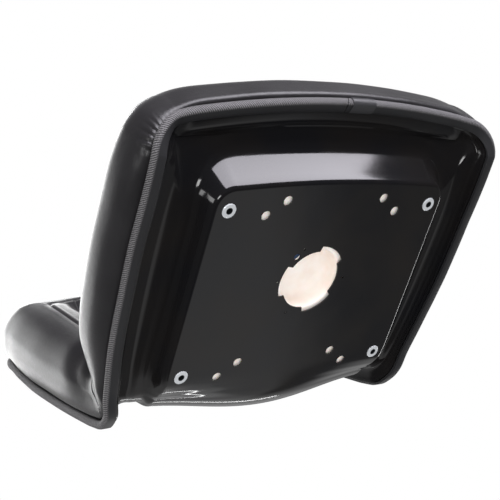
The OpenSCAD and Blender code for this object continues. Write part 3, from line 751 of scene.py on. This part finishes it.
# Corner between the roof and the trough's outer wall, as inset from the rim and share of the
# drop down to the flange
OUTER_CORNER = ((ROOF_END - 3.5, 0.1), (ROOF_END - 4.8, 0.38), (ROOF_END - 5.4, 0.8))
# The flange ends this far inside the rim
FLANGE_END = 3.6


def sheet_rows(i):
    """Rows of points from the plate out to the flange at the steps i. The first lies on the
    plate, and only sets how the curve through the others starts."""
    plate, rim, out = PLATE.at(i), RIM.at(i), outward(i)
    start, roof = arch(plate), trough(i)
    rows = [sheet_point(plate - 3 * out, start)]
    front = front_share(i)
    edge = mix(start, roof, ROOF_EDGE)
    runs = [mix(run, lean, front) for (run, _), lean in zip(WALL, FRONT_RUN)]
    rows += [sheet_point(plate + run * out, mix(start, edge, rise))
             for run, (_, rise) in zip(runs, WALL)]
    rows.append(sheet_point((plate + rim + (runs[-1] - ROOF_END) * out) / 2, roof))
    rows.append(sheet_point(rim - ROOF_END * out, edge))
    flange = rim_point(i, -FLANGE_IN, -SHEET_T / 2)
    for inset, drop in OUTER_CORNER:
        rows.append(mix(sheet_point(rim - inset * out, edge), flange, drop))
    rows += [flange, rim_point(i, -FLANGE_END, -SHEET_T / 2)]
    return rows


def pressed_sheet():
    u, c = grid_steps()
    xs = grid_place(PLATE, u, c)
    bm = grid_bmesh(sheet_point(xs, arch(xs)))
    around, side = loop_steps()
    around, side = around[:-1], side[:-1]
    rows = smooth_rows([mirrored(row, side) for row in sheet_rows(around)],
                       [1] * len(WALL) + [3, 3, 2, 2, 2, 2, 1])
    width = 2 * COLUMNS * FINE + 1
    height = ROWS * FINE + 1
    middle = COLUMNS * FINE
    front = [(0, x) for x in range(middle, width)]
    left = [(y, width - 1) for y in range(1, height)]
    top = [(height - 1, x) for x in range(width - 2, -1, -1)]
    right = [(y, 0) for y in range(height - 2, -1, -1)]
    back = [(0, x) for x in range(1, middle)]
    ring = [bm.verts[y * width + x] for y, x in front + left + top + right + back]
    skirt(bm, ring, rows[2:], True)
    return bm


# Holes in the plate. Each set of four: distance across, distance from front to back, shift
# towards the back, diameter. The switch opening: its centre, its radius between and at its three
# lobes, the angle that each lobe spans and where the lobes are. Small holes round it: distance
# from its centre, direction in degrees, diameter.
HOLE_SETS = [(270, 200, 0, 11.5), (175, 199, 7, 11), (130, 199, -9.5, 11)]
SWITCH_Y = -10.5
SWITCH_R = 35.3
LOBE_R = 41.7
LOBE_SPAN = 58
LOBES = (-60, 60, 180)
SWITCH_STEPS = 120
HOLE_SIDES = 64
SMALL_HOLE_SIDES = 24
CUT = 6
SMALL_HOLES = [(45.1, 0, 2.6), (45.1, 117, 2.6), (45.1, 180, 2.6), (45.1, 240, 2.6),
               (42.3, -134, 8)]


def cylinder_into(bm, x, y, diameter, sides):
    bmesh.ops.create_cone(bm, cap_ends=True, segments=sides, radius1=diameter / 2 * MM,
                          radius2=diameter / 2 * MM, depth=2 * CUT * MM,
                          matrix=Matrix.Translation(Vector((x, y, 0)) * MM))


def hole_cutters():
    """One piece of tools that reach CUT below and above the plate."""
    bm = bmesh.new()
    for pitch_x, pitch_y, shift, diameter in HOLE_SETS:
        for x in (-1, 1):
            for y in (-1, 1):
                cylinder_into(bm, x * pitch_x / 2, shift + y * pitch_y / 2, diameter,
                              HOLE_SIDES)
    for r, turn, diameter in SMALL_HOLES:
        turn = math.radians(turn)
        cylinder_into(bm, r * math.cos(turn), SWITCH_Y + r * math.sin(turn), diameter,
                      SMALL_HOLE_SIDES)
    outline = []
    for n in range(SWITCH_STEPS):
        turn = 360 * n / SWITCH_STEPS
        in_lobe = any(abs((turn - lobe + 180) % 360 - 180) < LOBE_SPAN / 2 for lobe in LOBES)
        r = LOBE_R if in_lobe else SWITCH_R
        outline.append(bm.verts.new(Vector((
            r * math.cos(math.radians(turn)), SWITCH_Y + r * math.sin(math.radians(turn)),
            -CUT)) * MM))
    face = bm.faces.new(outline)
    grown = bmesh.ops.extrude_face_region(bm, geom=[face])["geom"]
    top = [v for v in grown if isinstance(v, bmesh.types.BMVert)]
    bmesh.ops.translate(bm, verts=top, vec=(0, 0, 2 * CUT * MM))
    bmesh.ops.recalc_face_normals(bm, faces=bm.faces)
    return finish_mesh("cutters", bm)


def make_shell():
    shell = finish_mesh("pressed_shell", pressed_sheet())
    walls = shell.modifiers.new("wall", "SOLIDIFY")
    walls.thickness = SHEET_T * MM
    walls.offset = 1
    cutters = hole_cutters()
    holes = shell.modifiers.new("holes", "BOOLEAN")
    holes.operation = "DIFFERENCE"
    holes.solver = "MANIFOLD"
    holes.object = cutters
    apply_modifiers(shell)
    bpy.data.objects.remove(cutters)
    sharp_edges(shell.data, SHARP_DEG)
    return dress(shell, enamel, "sheet_black", "seat_shell")


# Edging: section round the flange, as [out, height] from the rim, from the cushion's side. Its
# legs run straight from LEG_END to where the nose starts to turn, and the slot stops at SLOT_END.
SLOT_ROOM = 0.8
SLOT_HIGH = HEM_HIGH + SLOT_ROOM
SLOT_LOW = -SHEET_T / 2 - SLOT_ROOM
SLOT_END = 3.1
EDGING_HALF = EDGING_T / 2
NOSE_START = 3.6
LEG_END = 8.5


def edging_section(grow=0.0):
    """Outer line of the section, offset outwards by grow, then the slot's walls back inside."""
    depth, half = EDGING_DEPTH, EDGING_HALF + grow
    nose = [(-NOSE_START + (NOSE_START + grow) * math.sin(turn), half * math.cos(turn))
            for turn in np.radians(np.arange(0, 181, 15))]
    upper = [(-depth, half - 0.1), (-depth + 0.5, half + 0.1), (-LEG_END, half + 0.1)]
    lower = [(-LEG_END, -half), (-depth + 0.5, -half + 0.1), (-depth, -half + 0.4)]
    return upper + nose + lower


SLOT = [(-EDGING_DEPTH, SLOT_LOW), (-SLOT_END, SLOT_LOW), (-SLOT_END, SLOT_HIGH),
        (-EDGING_DEPTH, SLOT_HIGH)]


def swept_edge(section, around, side, closed_run):
    """bmesh of a section swept along the rim, with its UV map in metres along and round it."""
    line = np.array(section + [section[0]])
    rows = np.stack([mirrored(rim_point(around, e, h), side) for e, h in line], axis=1)
    bm = grid_bmesh(rows)
    middle = rows[:, len(section) // 3]
    along = np.concatenate([[0], np.cumsum(np.linalg.norm(np.diff(middle, axis=0), axis=1))])
    across = np.concatenate([[0], np.cumsum(np.linalg.norm(np.diff(line, axis=0), axis=1))])
    layer = bm.loops.layers.uv.new("run")
    columns = len(line)
    for face in bm.faces:
        for loop in face.loops:
            row, column = divmod(loop.vert.index, columns)
            loop[layer].uv = (along[row] * MM, across[column] * MM)
    bmesh.ops.remove_doubles(bm, verts=bm.verts, dist=MERGE)
    if not closed_run:
        bmesh.ops.holes_fill(bm, edges=[e for e in bm.edges if e.is_boundary], sides=0)
    bmesh.ops.recalc_face_normals(bm, faces=bm.faces)
    return bm


# Butt joint of the edging in the front, cut by a slanting blade BLADE long and high, and the
# sleeve beside it
JOINT_X = 8
JOINT_W = 0.9
JOINT_SLANT = 24
BLADE = 60
SLEEVE_X = (9.5, 41)
SLEEVE_STEPS = 24
SLEEVE_GAP = 0.35
SLEEVE_T = 0.6


def make_edging():
    around, side = loop_steps()
    edge = finish_mesh("edging", swept_edge(edging_section() + SLOT, around, side, True))
    bm = bmesh.new()
    place = (Matrix.Translation(Vector((JOINT_X, -RIM_FRONT, TROUGH_FRONT)) * MM)
             @ Matrix.Rotation(math.radians(JOINT_SLANT), 4, "Y"))
    bmesh.ops.create_cube(bm, size=BLADE * MM,
                          matrix=place @ Matrix.Diagonal((JOINT_W / BLADE, 1, 1, 1)))
    blade = finish_mesh("blade", bm)
    cut = edge.modifiers.new("joint", "BOOLEAN")
    cut.operation = "DIFFERENCE"
    cut.solver = "MANIFOLD"
    cut.object = blade
    apply_modifiers(edge)
    bpy.data.objects.remove(blade)
    sharp_edges(edge.data, EDGING_SHARP_DEG)
    return dress(edge, edging, "edging", "edge_trim")


def make_sleeve():
    front_x = RIM.at(1)[0]
    around = np.linspace(SLEEVE_X[0] / front_x, SLEEVE_X[1] / front_x, SLEEVE_STEPS)
    inner = edging_section(SLEEVE_GAP)
    outer = edging_section(SLEEVE_GAP + SLEEVE_T)
    bm = swept_edge(outer + inner[::-1], around, np.ones(len(around)), False)
    sleeve = finish_mesh("joint_sleeve", bm)
    sharp_edges(sleeve.data, SHARP_DEG)
    return dress(sleeve, sleeve_pvc, "edging", "trim_joint_sleeve")


def soft_copy(node, voxel, name):
    """Soft-edged copy of a soft CAD solid."""
    bm = bmesh.new()
    bm.from_mesh(nodes[node].data)
    bmesh.ops.remove_doubles(bm, verts=bm.verts, dist=MERGE)
    piece = finish_mesh(name, bm)
    remesh = piece.modifiers.new("skin", "REMESH")
    remesh.mode = "VOXEL"
    remesh.voxel_size = voxel * MM
    apply_modifiers(piece)
    return piece


# Soft foams: CAD node, name, and size of the cells that give them their soft edges
FOAMS = (("seat_foam", "seat_foam_pad", 3.2), ("back_foam", "back_foam_pad", 5))
# Foam stands this much under its CAD surface, which leaves room for the unevenness
FOAM_SINK = 0.3


def follow_bow(places):
    """Moves the seat foam's inner front wall back with the plate's bowed front edge."""
    x, y, z = (places / MM).T
    part = np.clip(np.abs(x) / PLATE.front_x, 0, 1) ** 2
    # Full from y = -110 to -176 and up to z = 46, and fading out round that
    near = ease((-70 - y) / 40) * ease((y + 192) / 16) * (1 - ease((z - 46) / 12))
    places[:, 1] += PLATE_BOW * MM * part * near


def make_foams():
    for node, name, voxel in FOAMS:
        pad = soft_copy(node, voxel, name)
        places, normals = mesh_points(pad.data)
        lift = [noise.noise(Vector(p) * 60) * 0.25 + noise.noise(Vector(p) * 240) * 0.12
                for p in places]
        places += normals * (np.array(lift) - FOAM_SINK)[:, None] * MM
        if node == "seat_foam":
            follow_bow(places)
        move_points(pad.data, places)
        smooth_faces(pad.data)
        if node == "seat_foam":
            pinch(pad, FOAM_PINCH)
        dress(pad, foam, "foam", node, fill=0.9)


# Covers: grids over the crests, with a skirt down to the hem that folds round the edging.
# SIDE_ROWS counts the rows made down the skirt, of which the last HEM_RINGS are held.
SEAT_ROWS = (0, CREASE_ROW)
BACK_ROWS = (CREASE_ROW, ROWS)
SIDE_ROWS = [2, 2, 3, 3, 3, 3, 2, 2, 2, 1, 1, 1]
HEM_RINGS = 6
# Depth at which the covers' edges are tucked between the seat and the back
TUCK = 12
SEAT_CHANNELS = [-96 + CHANNEL_PITCH * n for n in range(4)]
BACK_CHANNELS = [RIM_TOP - CREST_IN - 62 - CHANNEL_PITCH * n for n in (2, 1, 0)]
# Frames of pressure, the furthest that it moves a cover, and how far the front corners are
# drawn in. The left corner is drawn in by LEFT_SHARE of that.
PUFF_FRAMES = 20
PUFF = 6
COVER_PINCH = 9
FOAM_PINCH = 10
LEFT_SHARE = 0.5


def channel_lines(rows):
    return SEAT_CHANNELS if rows[0] == 0 else BACK_CHANNELS


def cover_mesh(rows):
    """Open cover over grid rows. Gives its bmesh, and the vertices that its sewing holds."""
    seat = rows[0] == 0
    first, last = rows[0] + (0 if seat else 0.03), rows[1] - (0.03 if seat else 0)
    c, u = np.meshgrid(np.arange(-COLUMNS * COVER_FINE, COLUMNS * COVER_FINE + 1) / COVER_FINE,
                       np.linspace(first, last, (rows[1] - rows[0]) * COVER_FINE + 1))
    bm = grid_bmesh(crest_point(u, c, COVER_T / 2))
    height, width = u.shape
    held = set()
    s = grid_place(CREST, u, c)[1]
    for line in channel_lines(rows):
        nearest = np.abs(s[:, width // 2] - line).argmin()
        held |= {nearest * width + x for x in range(width) if abs(c[0, x]) <= SEAM_COLUMN}
    held |= {y * width + x for y in range(height) for x in range(width)
             if abs(abs(c[0, x]) - SEAM_COLUMN) < 0.01}
    left = [(y, width - 1) for y in range(height)]
    right = [(y, 0) for y in range(height)]
    if seat:
        ring = right[::-1] + [(0, x) for x in range(1, width - 1)] + left
        k = np.linspace(-(COLUMNS + last), COLUMNS + last, len(ring))
        crease = [(height - 1, x) for x in range(width)]
    else:
        ring = left + [(height - 1, x) for x in range(width - 2, 0, -1)] + right[::-1]
        k = np.linspace(COLUMNS + first, 2 * HALF_LOOP - COLUMNS - first, len(ring))
        crease = [(0, x) for x in range(width)]
    around, side = half_loop(k)
    rings = smooth_rows([mirrored(row, side) for row in cover_rows(around, COVER_T / 2)],
                        SIDE_ROWS)
    ring = [bm.verts[y * width + x] for y, x in ring]
    grown = [ring]
    for row in rings[1:]:
        ring = skirt(bm, ring, [row], False)
        grown.append(ring)
    bm.verts.ensure_lookup_table()
    held_verts = {bm.verts[k] for k in held} | set(grown[0])
    for ring in grown[-HEM_RINGS:]:
        held_verts |= set(ring)

    # The edge at the crease is tucked down between the seat and the back
    tucked = smooth_rows([mirrored(row, side) for row in cover_rows(around, TUCK)], SIDE_ROWS)
    depth_share = np.clip(np.linspace(1.4, -0.3, len(rings)), 0, 1)[:, None]
    ends = [rings[:, n] + (tucked[:, n] - rings[:, n]) * depth_share for n in (0, -1)]
    middle = crest_point(u[-1 if seat else 0], c[0], TUCK)
    chain = [line[0] for line in grown][::-1]
    places = list(ends[0][::-1])
    inner = [bm.verts[y * width + x] for y, x in crease]
    run = list(zip(inner, middle))
    if chain[-1] is not run[0][0]:
        run = run[::-1]
    chain += [vert for vert, _ in run[1:]]
    places += [place for _, place in run[1:]]
    chain += [line[-1] for line in grown][1:]
    places += list(ends[1][1:])
    held_verts |= set(chain)
    held_verts |= set(skirt(bm, chain, [np.array(places)], False))
    bm.verts.index_update()
    return bm, sorted(vert.index for vert in held_verts)


def puff(piece, held):
    """Blows a cover up between the lines that its sewing holds, moving no point beyond PUFF."""
    places, _ = mesh_points(piece.data)
    group = piece.vertex_groups.new(name="held")
    group.add(held, 1.0, "REPLACE")
    cloth = piece.modifiers.new("cloth", "CLOTH")
    settings = cloth.settings
    settings.vertex_group_mass = "held"
    settings.pin_stiffness = 20
    settings.use_pressure = True
    settings.uniform_pressure_force = 4
    settings.tension_stiffness = settings.compression_stiffness = 40
    settings.shear_stiffness = 20
    settings.bending_stiffness = 2
    settings.mass = 0.4
    settings.effector_weights.gravity = 0
    settings.quality = 6
    cloth.collision_settings.use_collision = False
    scene = bpy.context.scene
    for frame_number in range(1, PUFF_FRAMES + 1):
        scene.frame_set(frame_number)
    apply_modifiers(piece)
    scene.frame_set(1)
    piece.vertex_groups.clear()
    blown, _ = mesh_points(piece.data)
    move = blown - places
    reach = np.linalg.norm(move, axis=1, keepdims=True)
    move *= np.minimum(1, PUFF * MM / np.maximum(reach, 1e-9))
    move_points(piece.data, places + move)


def line_distance(places, line):
    """Distance in millimetres from each of the places, in metres, to a dense run of points."""
    tree = kdtree.KDTree(len(line))
    for n, point in enumerate(line):
        tree.insert(Vector(point), n)
    tree.balance()
    return np.array([tree.find(Vector(place / MM))[2] for place in places])


def channel_dip(s, rows):
    """Depth of the sewn channels at places s along the sheet."""
    return sum(CHANNEL_DEPTH * np.exp(-((s - line) / 4.5) ** 2) for line in channel_lines(rows))


# Wadding: its top and its bottom under the crest, and the points across and along it
WADDING_TOP = 4.2
WADDING_BOTTOM = 9.6
WADDING_GRID = (41, 121)


def make_wadding(node, rows, first, last):
    """Wadding between a channelled panel and its foam, pressed thin under each channel."""
    c, u = np.meshgrid(np.linspace(0.1 - SEAM_COLUMN, SEAM_COLUMN - 0.1, WADDING_GRID[0]),
                       np.linspace(first, last, WADDING_GRID[1]))
    dip = channel_dip(grid_place(CREST, u, c)[1], rows)
    bm = grid_bmesh(crest_point(u, c, WADDING_TOP + dip))
    bottom = crest_point(u, c, WADDING_BOTTOM).reshape(-1, 3)
    number = bm.verts.layers.int.new("number")
    for n, vert in enumerate(bm.verts):
        vert[number] = n
    grown = bmesh.ops.extrude_face_region(bm, geom=bm.faces[:])["geom"]
    for vert in grown:
        if isinstance(vert, bmesh.types.BMVert):
            vert.co = bottom[vert[number]] * MM
    bmesh.ops.recalc_face_normals(bm, faces=bm.faces)
    dress(finish_mesh(node + "_pad", bm), wadding, "wadding", node, fill=0.5)


def sewn_lines(rows):
    """Dense runs of points, in millimetres, along the seams and along the channels."""
    u = np.linspace(rows[0], rows[1], 400)
    seams = [crest_point(u, side * SEAM_COLUMN + 0 * u, 0) for side in (-1, 1)]
    seams += [crest_point(u, side * COLUMNS + 0 * u, 0) for side in (-1, 1)]
    c = np.linspace(-COLUMNS, COLUMNS, 500)
    end = rows[0] if rows[0] == 0 else rows[1]
    seams.append(crest_point(end + 0 * c, c, 0))
    channels = []
    c = np.linspace(-SEAM_COLUMN, SEAM_COLUMN, 300)
    for line in channel_lines(rows):
        s = grid_place(CREST, u, 0 * u)[1]
        channels.append(crest_point(np.interp(line, s, u) + 0 * c, c, 0))
    return np.concatenate(seams), np.concatenate(channels)


def front_corner(places):
    """Direction in degrees and distance of each place from the middle of its front corner, in
    plan. 0 is straight out to the side, and -90 straight to the front."""
    x, y = np.abs(places[:, 0]) / MM, places[:, 1] / MM
    corner_x, corner_y = RIM_W / 2 - RIM_CORNER_R, -RIM_FRONT + FRONT_BOW + RIM_CORNER_R
    return (np.degrees(np.arctan2(y - corner_y, x - corner_x)),
            np.hypot(x - corner_x, y - corner_y))


def pinch(piece, depth):
    """Pulls the seat cushion in at its front corners."""
    places, _ = mesh_points(piece.data)
    turn, far = front_corner(places)
    pull = depth * ease((turn + 130) / 75) * ease((45 - turn) / 75) * ease((far - 8) / 30)
    pull *= ease((places[:, 2] / MM - 12) / 30) * np.where(places[:, 0] > 0, LEFT_SHARE, 1)
    turn = np.radians(turn)
    side = np.sign(places[:, 0])
    places[:, 0] -= side * np.cos(turn) * pull * MM
    places[:, 1] -= np.sin(turn) * pull * MM
    move_points(piece.data, places)


# Gathers at the front corners: folds in a whole turn, and their depth
FOLDS = 38
FOLD_DEPTH = 2.4


def gathers(places):
    """Depths of short radial folds in the cover at the front corners, above its hem."""
    turn, far = front_corner(places)
    across = ease((turn + 115) / 22) * ease((22 - turn) / 22)
    high = places[:, 2] / MM - 16
    tall = np.exp(-(np.maximum(0, high - 6) / 15) ** 2) * ease((high + 4) / 4)
    outside = ease((far - 24) / 8)
    wander = np.array([noise.noise(Vector(p) * 40) for p in places])
    waves = np.cos(np.radians(turn) * FOLDS + wander * 5)
    return -FOLD_DEPTH * np.maximum(0, waves) ** 1.5 * across * tall * outside


# A seam is a groove of SEAM_DEPTH between two soft ridges, SEAM_RIDGE high
SEAM_DEPTH = 1.6
SEAM_RIDGE = 0.7
# Unevenness of a stuffed cover away from its seams
SLACK = 0.7


def sew(piece, rows):
    """Draws the seams, channels and gathers into a blown cover."""
    divide = piece.modifiers.new("smooth", "SUBSURF")
    divide.levels = divide.render_levels = 1
    apply_modifiers(piece)
    places, normals = mesh_points(piece.data)
    seams, channels = sewn_lines(rows)
    seam = line_distance(places, seams)
    channel = line_distance(places, channels)
    lift = -SEAM_DEPTH * np.exp(-(seam / 1.9) ** 2)
    lift += SEAM_RIDGE * np.exp(-((seam - 5) / 2.6) ** 2)
    lift -= CHANNEL_DEPTH * np.exp(-(channel / 4.2) ** 2)
    if rows[0] == 0:
        lift += gathers(places)
    soft = np.array([noise.noise(Vector(p) * 18) for p in places])
    lift += SLACK * soft * ease((seam - 4) / 12) * ease((places[:, 2] / MM - 30) / 20)
    places += normals * lift[:, None] * MM
    move_points(piece.data, places)
    wall = piece.modifiers.new("thickness", "SOLIDIFY")
    wall.thickness = COVER_T * MM
    wall.offset = 0
    apply_modifiers(piece)
    smooth_faces(piece.data)


def make_cover(name, rows):
    bm, held = cover_mesh(rows)
    bmesh.ops.recalc_face_normals(bm, faces=bm.faces)
    cover = finish_mesh(name, bm)
    puff(cover, held)
    if rows[0] == 0:
        pinch(cover, COVER_PINCH)
    sew(cover, rows)
    return cover


# Size of the cells that give the gussets their soft edges
GUSSET_CELL = 1.2


def make_gussets():
    for side in ("left", "right"):
        node = "corner_gusset_" + side
        gusset = soft_copy(node, GUSSET_CELL, "gusset_" + side)
        smooth_faces(gusset.data)
        dress(gusset, vinyl, "vinyl", node)


def direction(azimuth, elevation):
    """Direction from the seat: azimuth from the front towards the sitter's left, in degrees."""
    a, e = math.radians(azimuth), math.radians(elevation)
    return Vector((math.sin(a) * math.cos(e), -math.cos(a) * math.cos(e), math.sin(e)))


# Every lamp stands LAMP_DISTANCE from this place on the plate and faces it, both in metres
PLATE_MIDDLE = Vector((0, -0.05, 0.02))
LAMP_DISTANCE = 2.0


def soft_box(name, azimuth, elevation, width, height, radiance, roll=0.0, tint="#ffffff"):
    """Area lamp that faces the seat's plate, given by the brightness that its surface shows."""
    data = bpy.data.lights.new(name, "AREA")
    data.shape = "RECTANGLE"
    data.size, data.size_y = width, height
    data.energy = radiance * math.pi * width * height
    data.color = linear(tint)[:3]
    box = bpy.data.objects.new(name, data)
    way = direction(azimuth, elevation)
    turn = way.to_track_quat("Z", "Y") @ Quaternion((0, 0, 1), math.radians(roll))
    place = Matrix.Translation(PLATE_MIDDLE + way * LAMP_DISTANCE)
    box.matrix_world = place @ turn.to_matrix().to_4x4()
    box.visible_camera = False
    bpy.context.scene.collection.objects.link(box)


# What a glossy ray sees of the room. The enamel mirrors a dim one, with a paler floor behind
# the seat in the direction FLOOR_WAY, and a darker half beyond a line that the plate mirrors
# from corner to corner. Straight down it is dark. The ranges below are cosines of the angle
# between a ray and one of these directions, and one level fades into the next over them.
FLOOR_WAY = direction(155, 5)
FLOOR_LEVEL = 0.55
DARK_SIDE = Vector((0.778, -0.261, 0.573))
NEAR_LEVEL = 0.48
DARK_LEVEL = 0.12
# Light of the room on the seat
ROOM_LIGHT = 0.95


def make_world():
    world = bpy.data.worlds.new("studio")
    bpy.context.scene.world = world
    world.use_nodes = True
    tree = world.node_tree
    tree.nodes.clear()
    way = add_node(tree, "TexCoord").outputs["Generated"]
    rays = add_node(tree, "LightPath").outputs
    toward = add_node(tree, "VectorMath", {0: way, 1: FLOOR_WAY}, operation="DOT_PRODUCT")
    half = add_node(tree, "VectorMath", {0: way, 1: DARK_SIDE}, operation="DOT_PRODUCT")
    level = between(tree, half.outputs["Value"], -0.03, 0.03, NEAR_LEVEL, DARK_LEVEL)
    near = between(tree, toward.outputs["Value"], 0.25, 0.5, 0.1, 1.0)
    down = between(tree, add_node(tree, "SeparateXYZ", {"Vector": way}).outputs["Z"],
                   -0.79, -0.735, 0.1, 1.0)
    shade = add_node(tree, "Math", {0: near, 1: down}, operation="MULTIPLY")
    low = add_node(tree, "Math", {0: shade.outputs[0], 1: level}, operation="MULTIPLY").outputs[0]
    high = between(tree, toward.outputs["Value"], 0.86, 0.97, 0.0, FLOOR_LEVEL)
    mirror = add_node(tree, "Math", {0: low, 1: high}, operation="ADD")
    seen = add_node(tree, "Mix", data_type="FLOAT")
    tree.links.new(rays["Is Glossy Ray"], seen.inputs[0])
    seen.inputs[2].default_value = ROOM_LIGHT
    tree.links.new(mirror.outputs[0], seen.inputs[3])
    plain = add_node(tree, "Background", {"Strength": seen.outputs[0]})
    white = add_node(tree, "Background", {"Strength": 1.0})
    for sky in (plain, white):
        sky.inputs["Color"].default_value = (1, 1, 1, 1)
    clear = add_node(tree, "Math", {0: rays["Is Camera Ray"], 1: rays["Is Transmission Ray"]},
                     operation="MAXIMUM")
    mixed = add_node(tree, "MixShader", {0: clear.outputs[0]})
    tree.links.new(plain.outputs[0], mixed.inputs[1])
    tree.links.new(white.outputs[0], mixed.inputs[2])
    out = add_node(tree, "OutputWorld")
    tree.links.new(mixed.outputs[0], out.inputs[0])


def make_lights():
    """A big softbox before the seat, which its trough mirrors as a pale band, one over its back,
    and small ones for the lines on its edges."""
    soft_box("front_box", 11, 3, 2.5, 1.25, 9.0, roll=12, tint="#f9f6ff")
    soft_box("side_box", -84, -6, 0.5, 0.7, 5.0)
    soft_box("low_box", -60, -40, 0.5, 0.5, 10.0)
    soft_box("top_box", 178, 60, 2.2, 1.3, 5.5)
    soft_box("edge_box", 116, 2, 0.9, 0.7, 5.0)
    soft_box("floor_strip", 157, -4, 0.8, 0.06, 11.0)


# Floor: its radius, how far under the seat it lies, and where it starts and ends to fade
FLOOR_R = 3.0
FLOOR_DROP = 0.0002
FLOOR_FADE = (0.3, 1.0)


def make_floor():
    """Pale floor at the seat's foot: it takes the shadow, and hides nothing seen from below."""
    bm = bmesh.new()
    bmesh.ops.create_circle(bm, cap_ends=True, segments=96, radius=FLOOR_R)
    bmesh.ops.translate(bm, verts=bm.verts, vec=(0, 0, float(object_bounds()[0][2]) - FLOOR_DROP))
    floor = finish_mesh("floor", bm)
    material, tree, shader = new_material("pale_floor")
    shader.inputs["Base Color"].default_value = linear("#f3f3f3")
    shader.inputs["Roughness"].default_value = 0.9
    clear = add_node(tree, "BsdfTransparent")
    where = add_node(tree, "TexCoord").outputs["Object"]
    far = add_node(tree, "VectorMath", {0: where}, operation="LENGTH")
    gone = between(tree, far.outputs["Value"], FLOOR_FADE[0], FLOOR_FADE[1], 0.0, 1.0)
    under = add_node(tree, "NewGeometry").outputs["Backfacing"]
    hidden = add_node(tree, "Math", {0: gone, 1: under}, operation="MAXIMUM")
    mixed = add_node(tree, "MixShader", {0: hidden.outputs[0], 1: shader.outputs[0],
                                         2: clear.outputs[0]})
    out = next(node for node in tree.nodes if node.type == "OUTPUT_MATERIAL")
    tree.links.new(mixed.outputs[0], out.inputs[0])
    floor.data.materials.append(material)
    for name in ("shadow", "diffuse", "glossy", "transmission"):
        setattr(floor, "visible_" + name, False)


# Camera fitted to the holes in the photo
LENS = 78.116
SENSOR = 36
CAMERA_PLACE = Vector((-0.7340, -0.5325, -0.7533))
CAMERA_AXES = Matrix(((0.81158, 0.04851, -0.58222), (-0.26153, -0.86096, -0.43630),
                      (-0.52243, 0.50636, -0.68605)))


def aim_camera():
    data = bpy.data.cameras.new("camera")
    data.sensor_width = SENSOR
    data.lens = LENS
    data.clip_start = 0.05
    camera = bpy.data.objects.new("camera", data)
    camera.matrix_world = Matrix.Translation(CAMERA_PLACE) @ CAMERA_AXES.to_4x4()
    bpy.context.scene.collection.objects.link(camera)
    bpy.context.scene.camera = camera


make_shell()
make_edging()
make_sleeve()
make_foams()
dress(make_cover("seat_cover", SEAT_ROWS), vinyl, "vinyl", "seat_boxing",
      "seat_bolster_left", "seat_bolster_right", "seat_centre_panel", fill=0.9)
dress(make_cover("back_cover", BACK_ROWS), vinyl, "vinyl", "back_centre_panel",
      "back_bolster_left", "back_bolster_right", "back_side_left", "back_side_right", fill=0.9)
make_wadding("seat_wadding", SEAT_ROWS, 0.15, CREASE_ROW - 0.9)
make_wadding("back_wadding", BACK_ROWS, CREASE_ROW + 0.9, ROWS - 0.15)
make_gussets()
nodes["rivet_nuts"].data.materials.clear()
nodes["rivet_nuts"].data.materials.append(zinc)
make_world()
make_lights()
make_floor()
aim_camera()
bpy.context.scene.view_settings.view_transform = "Standard"
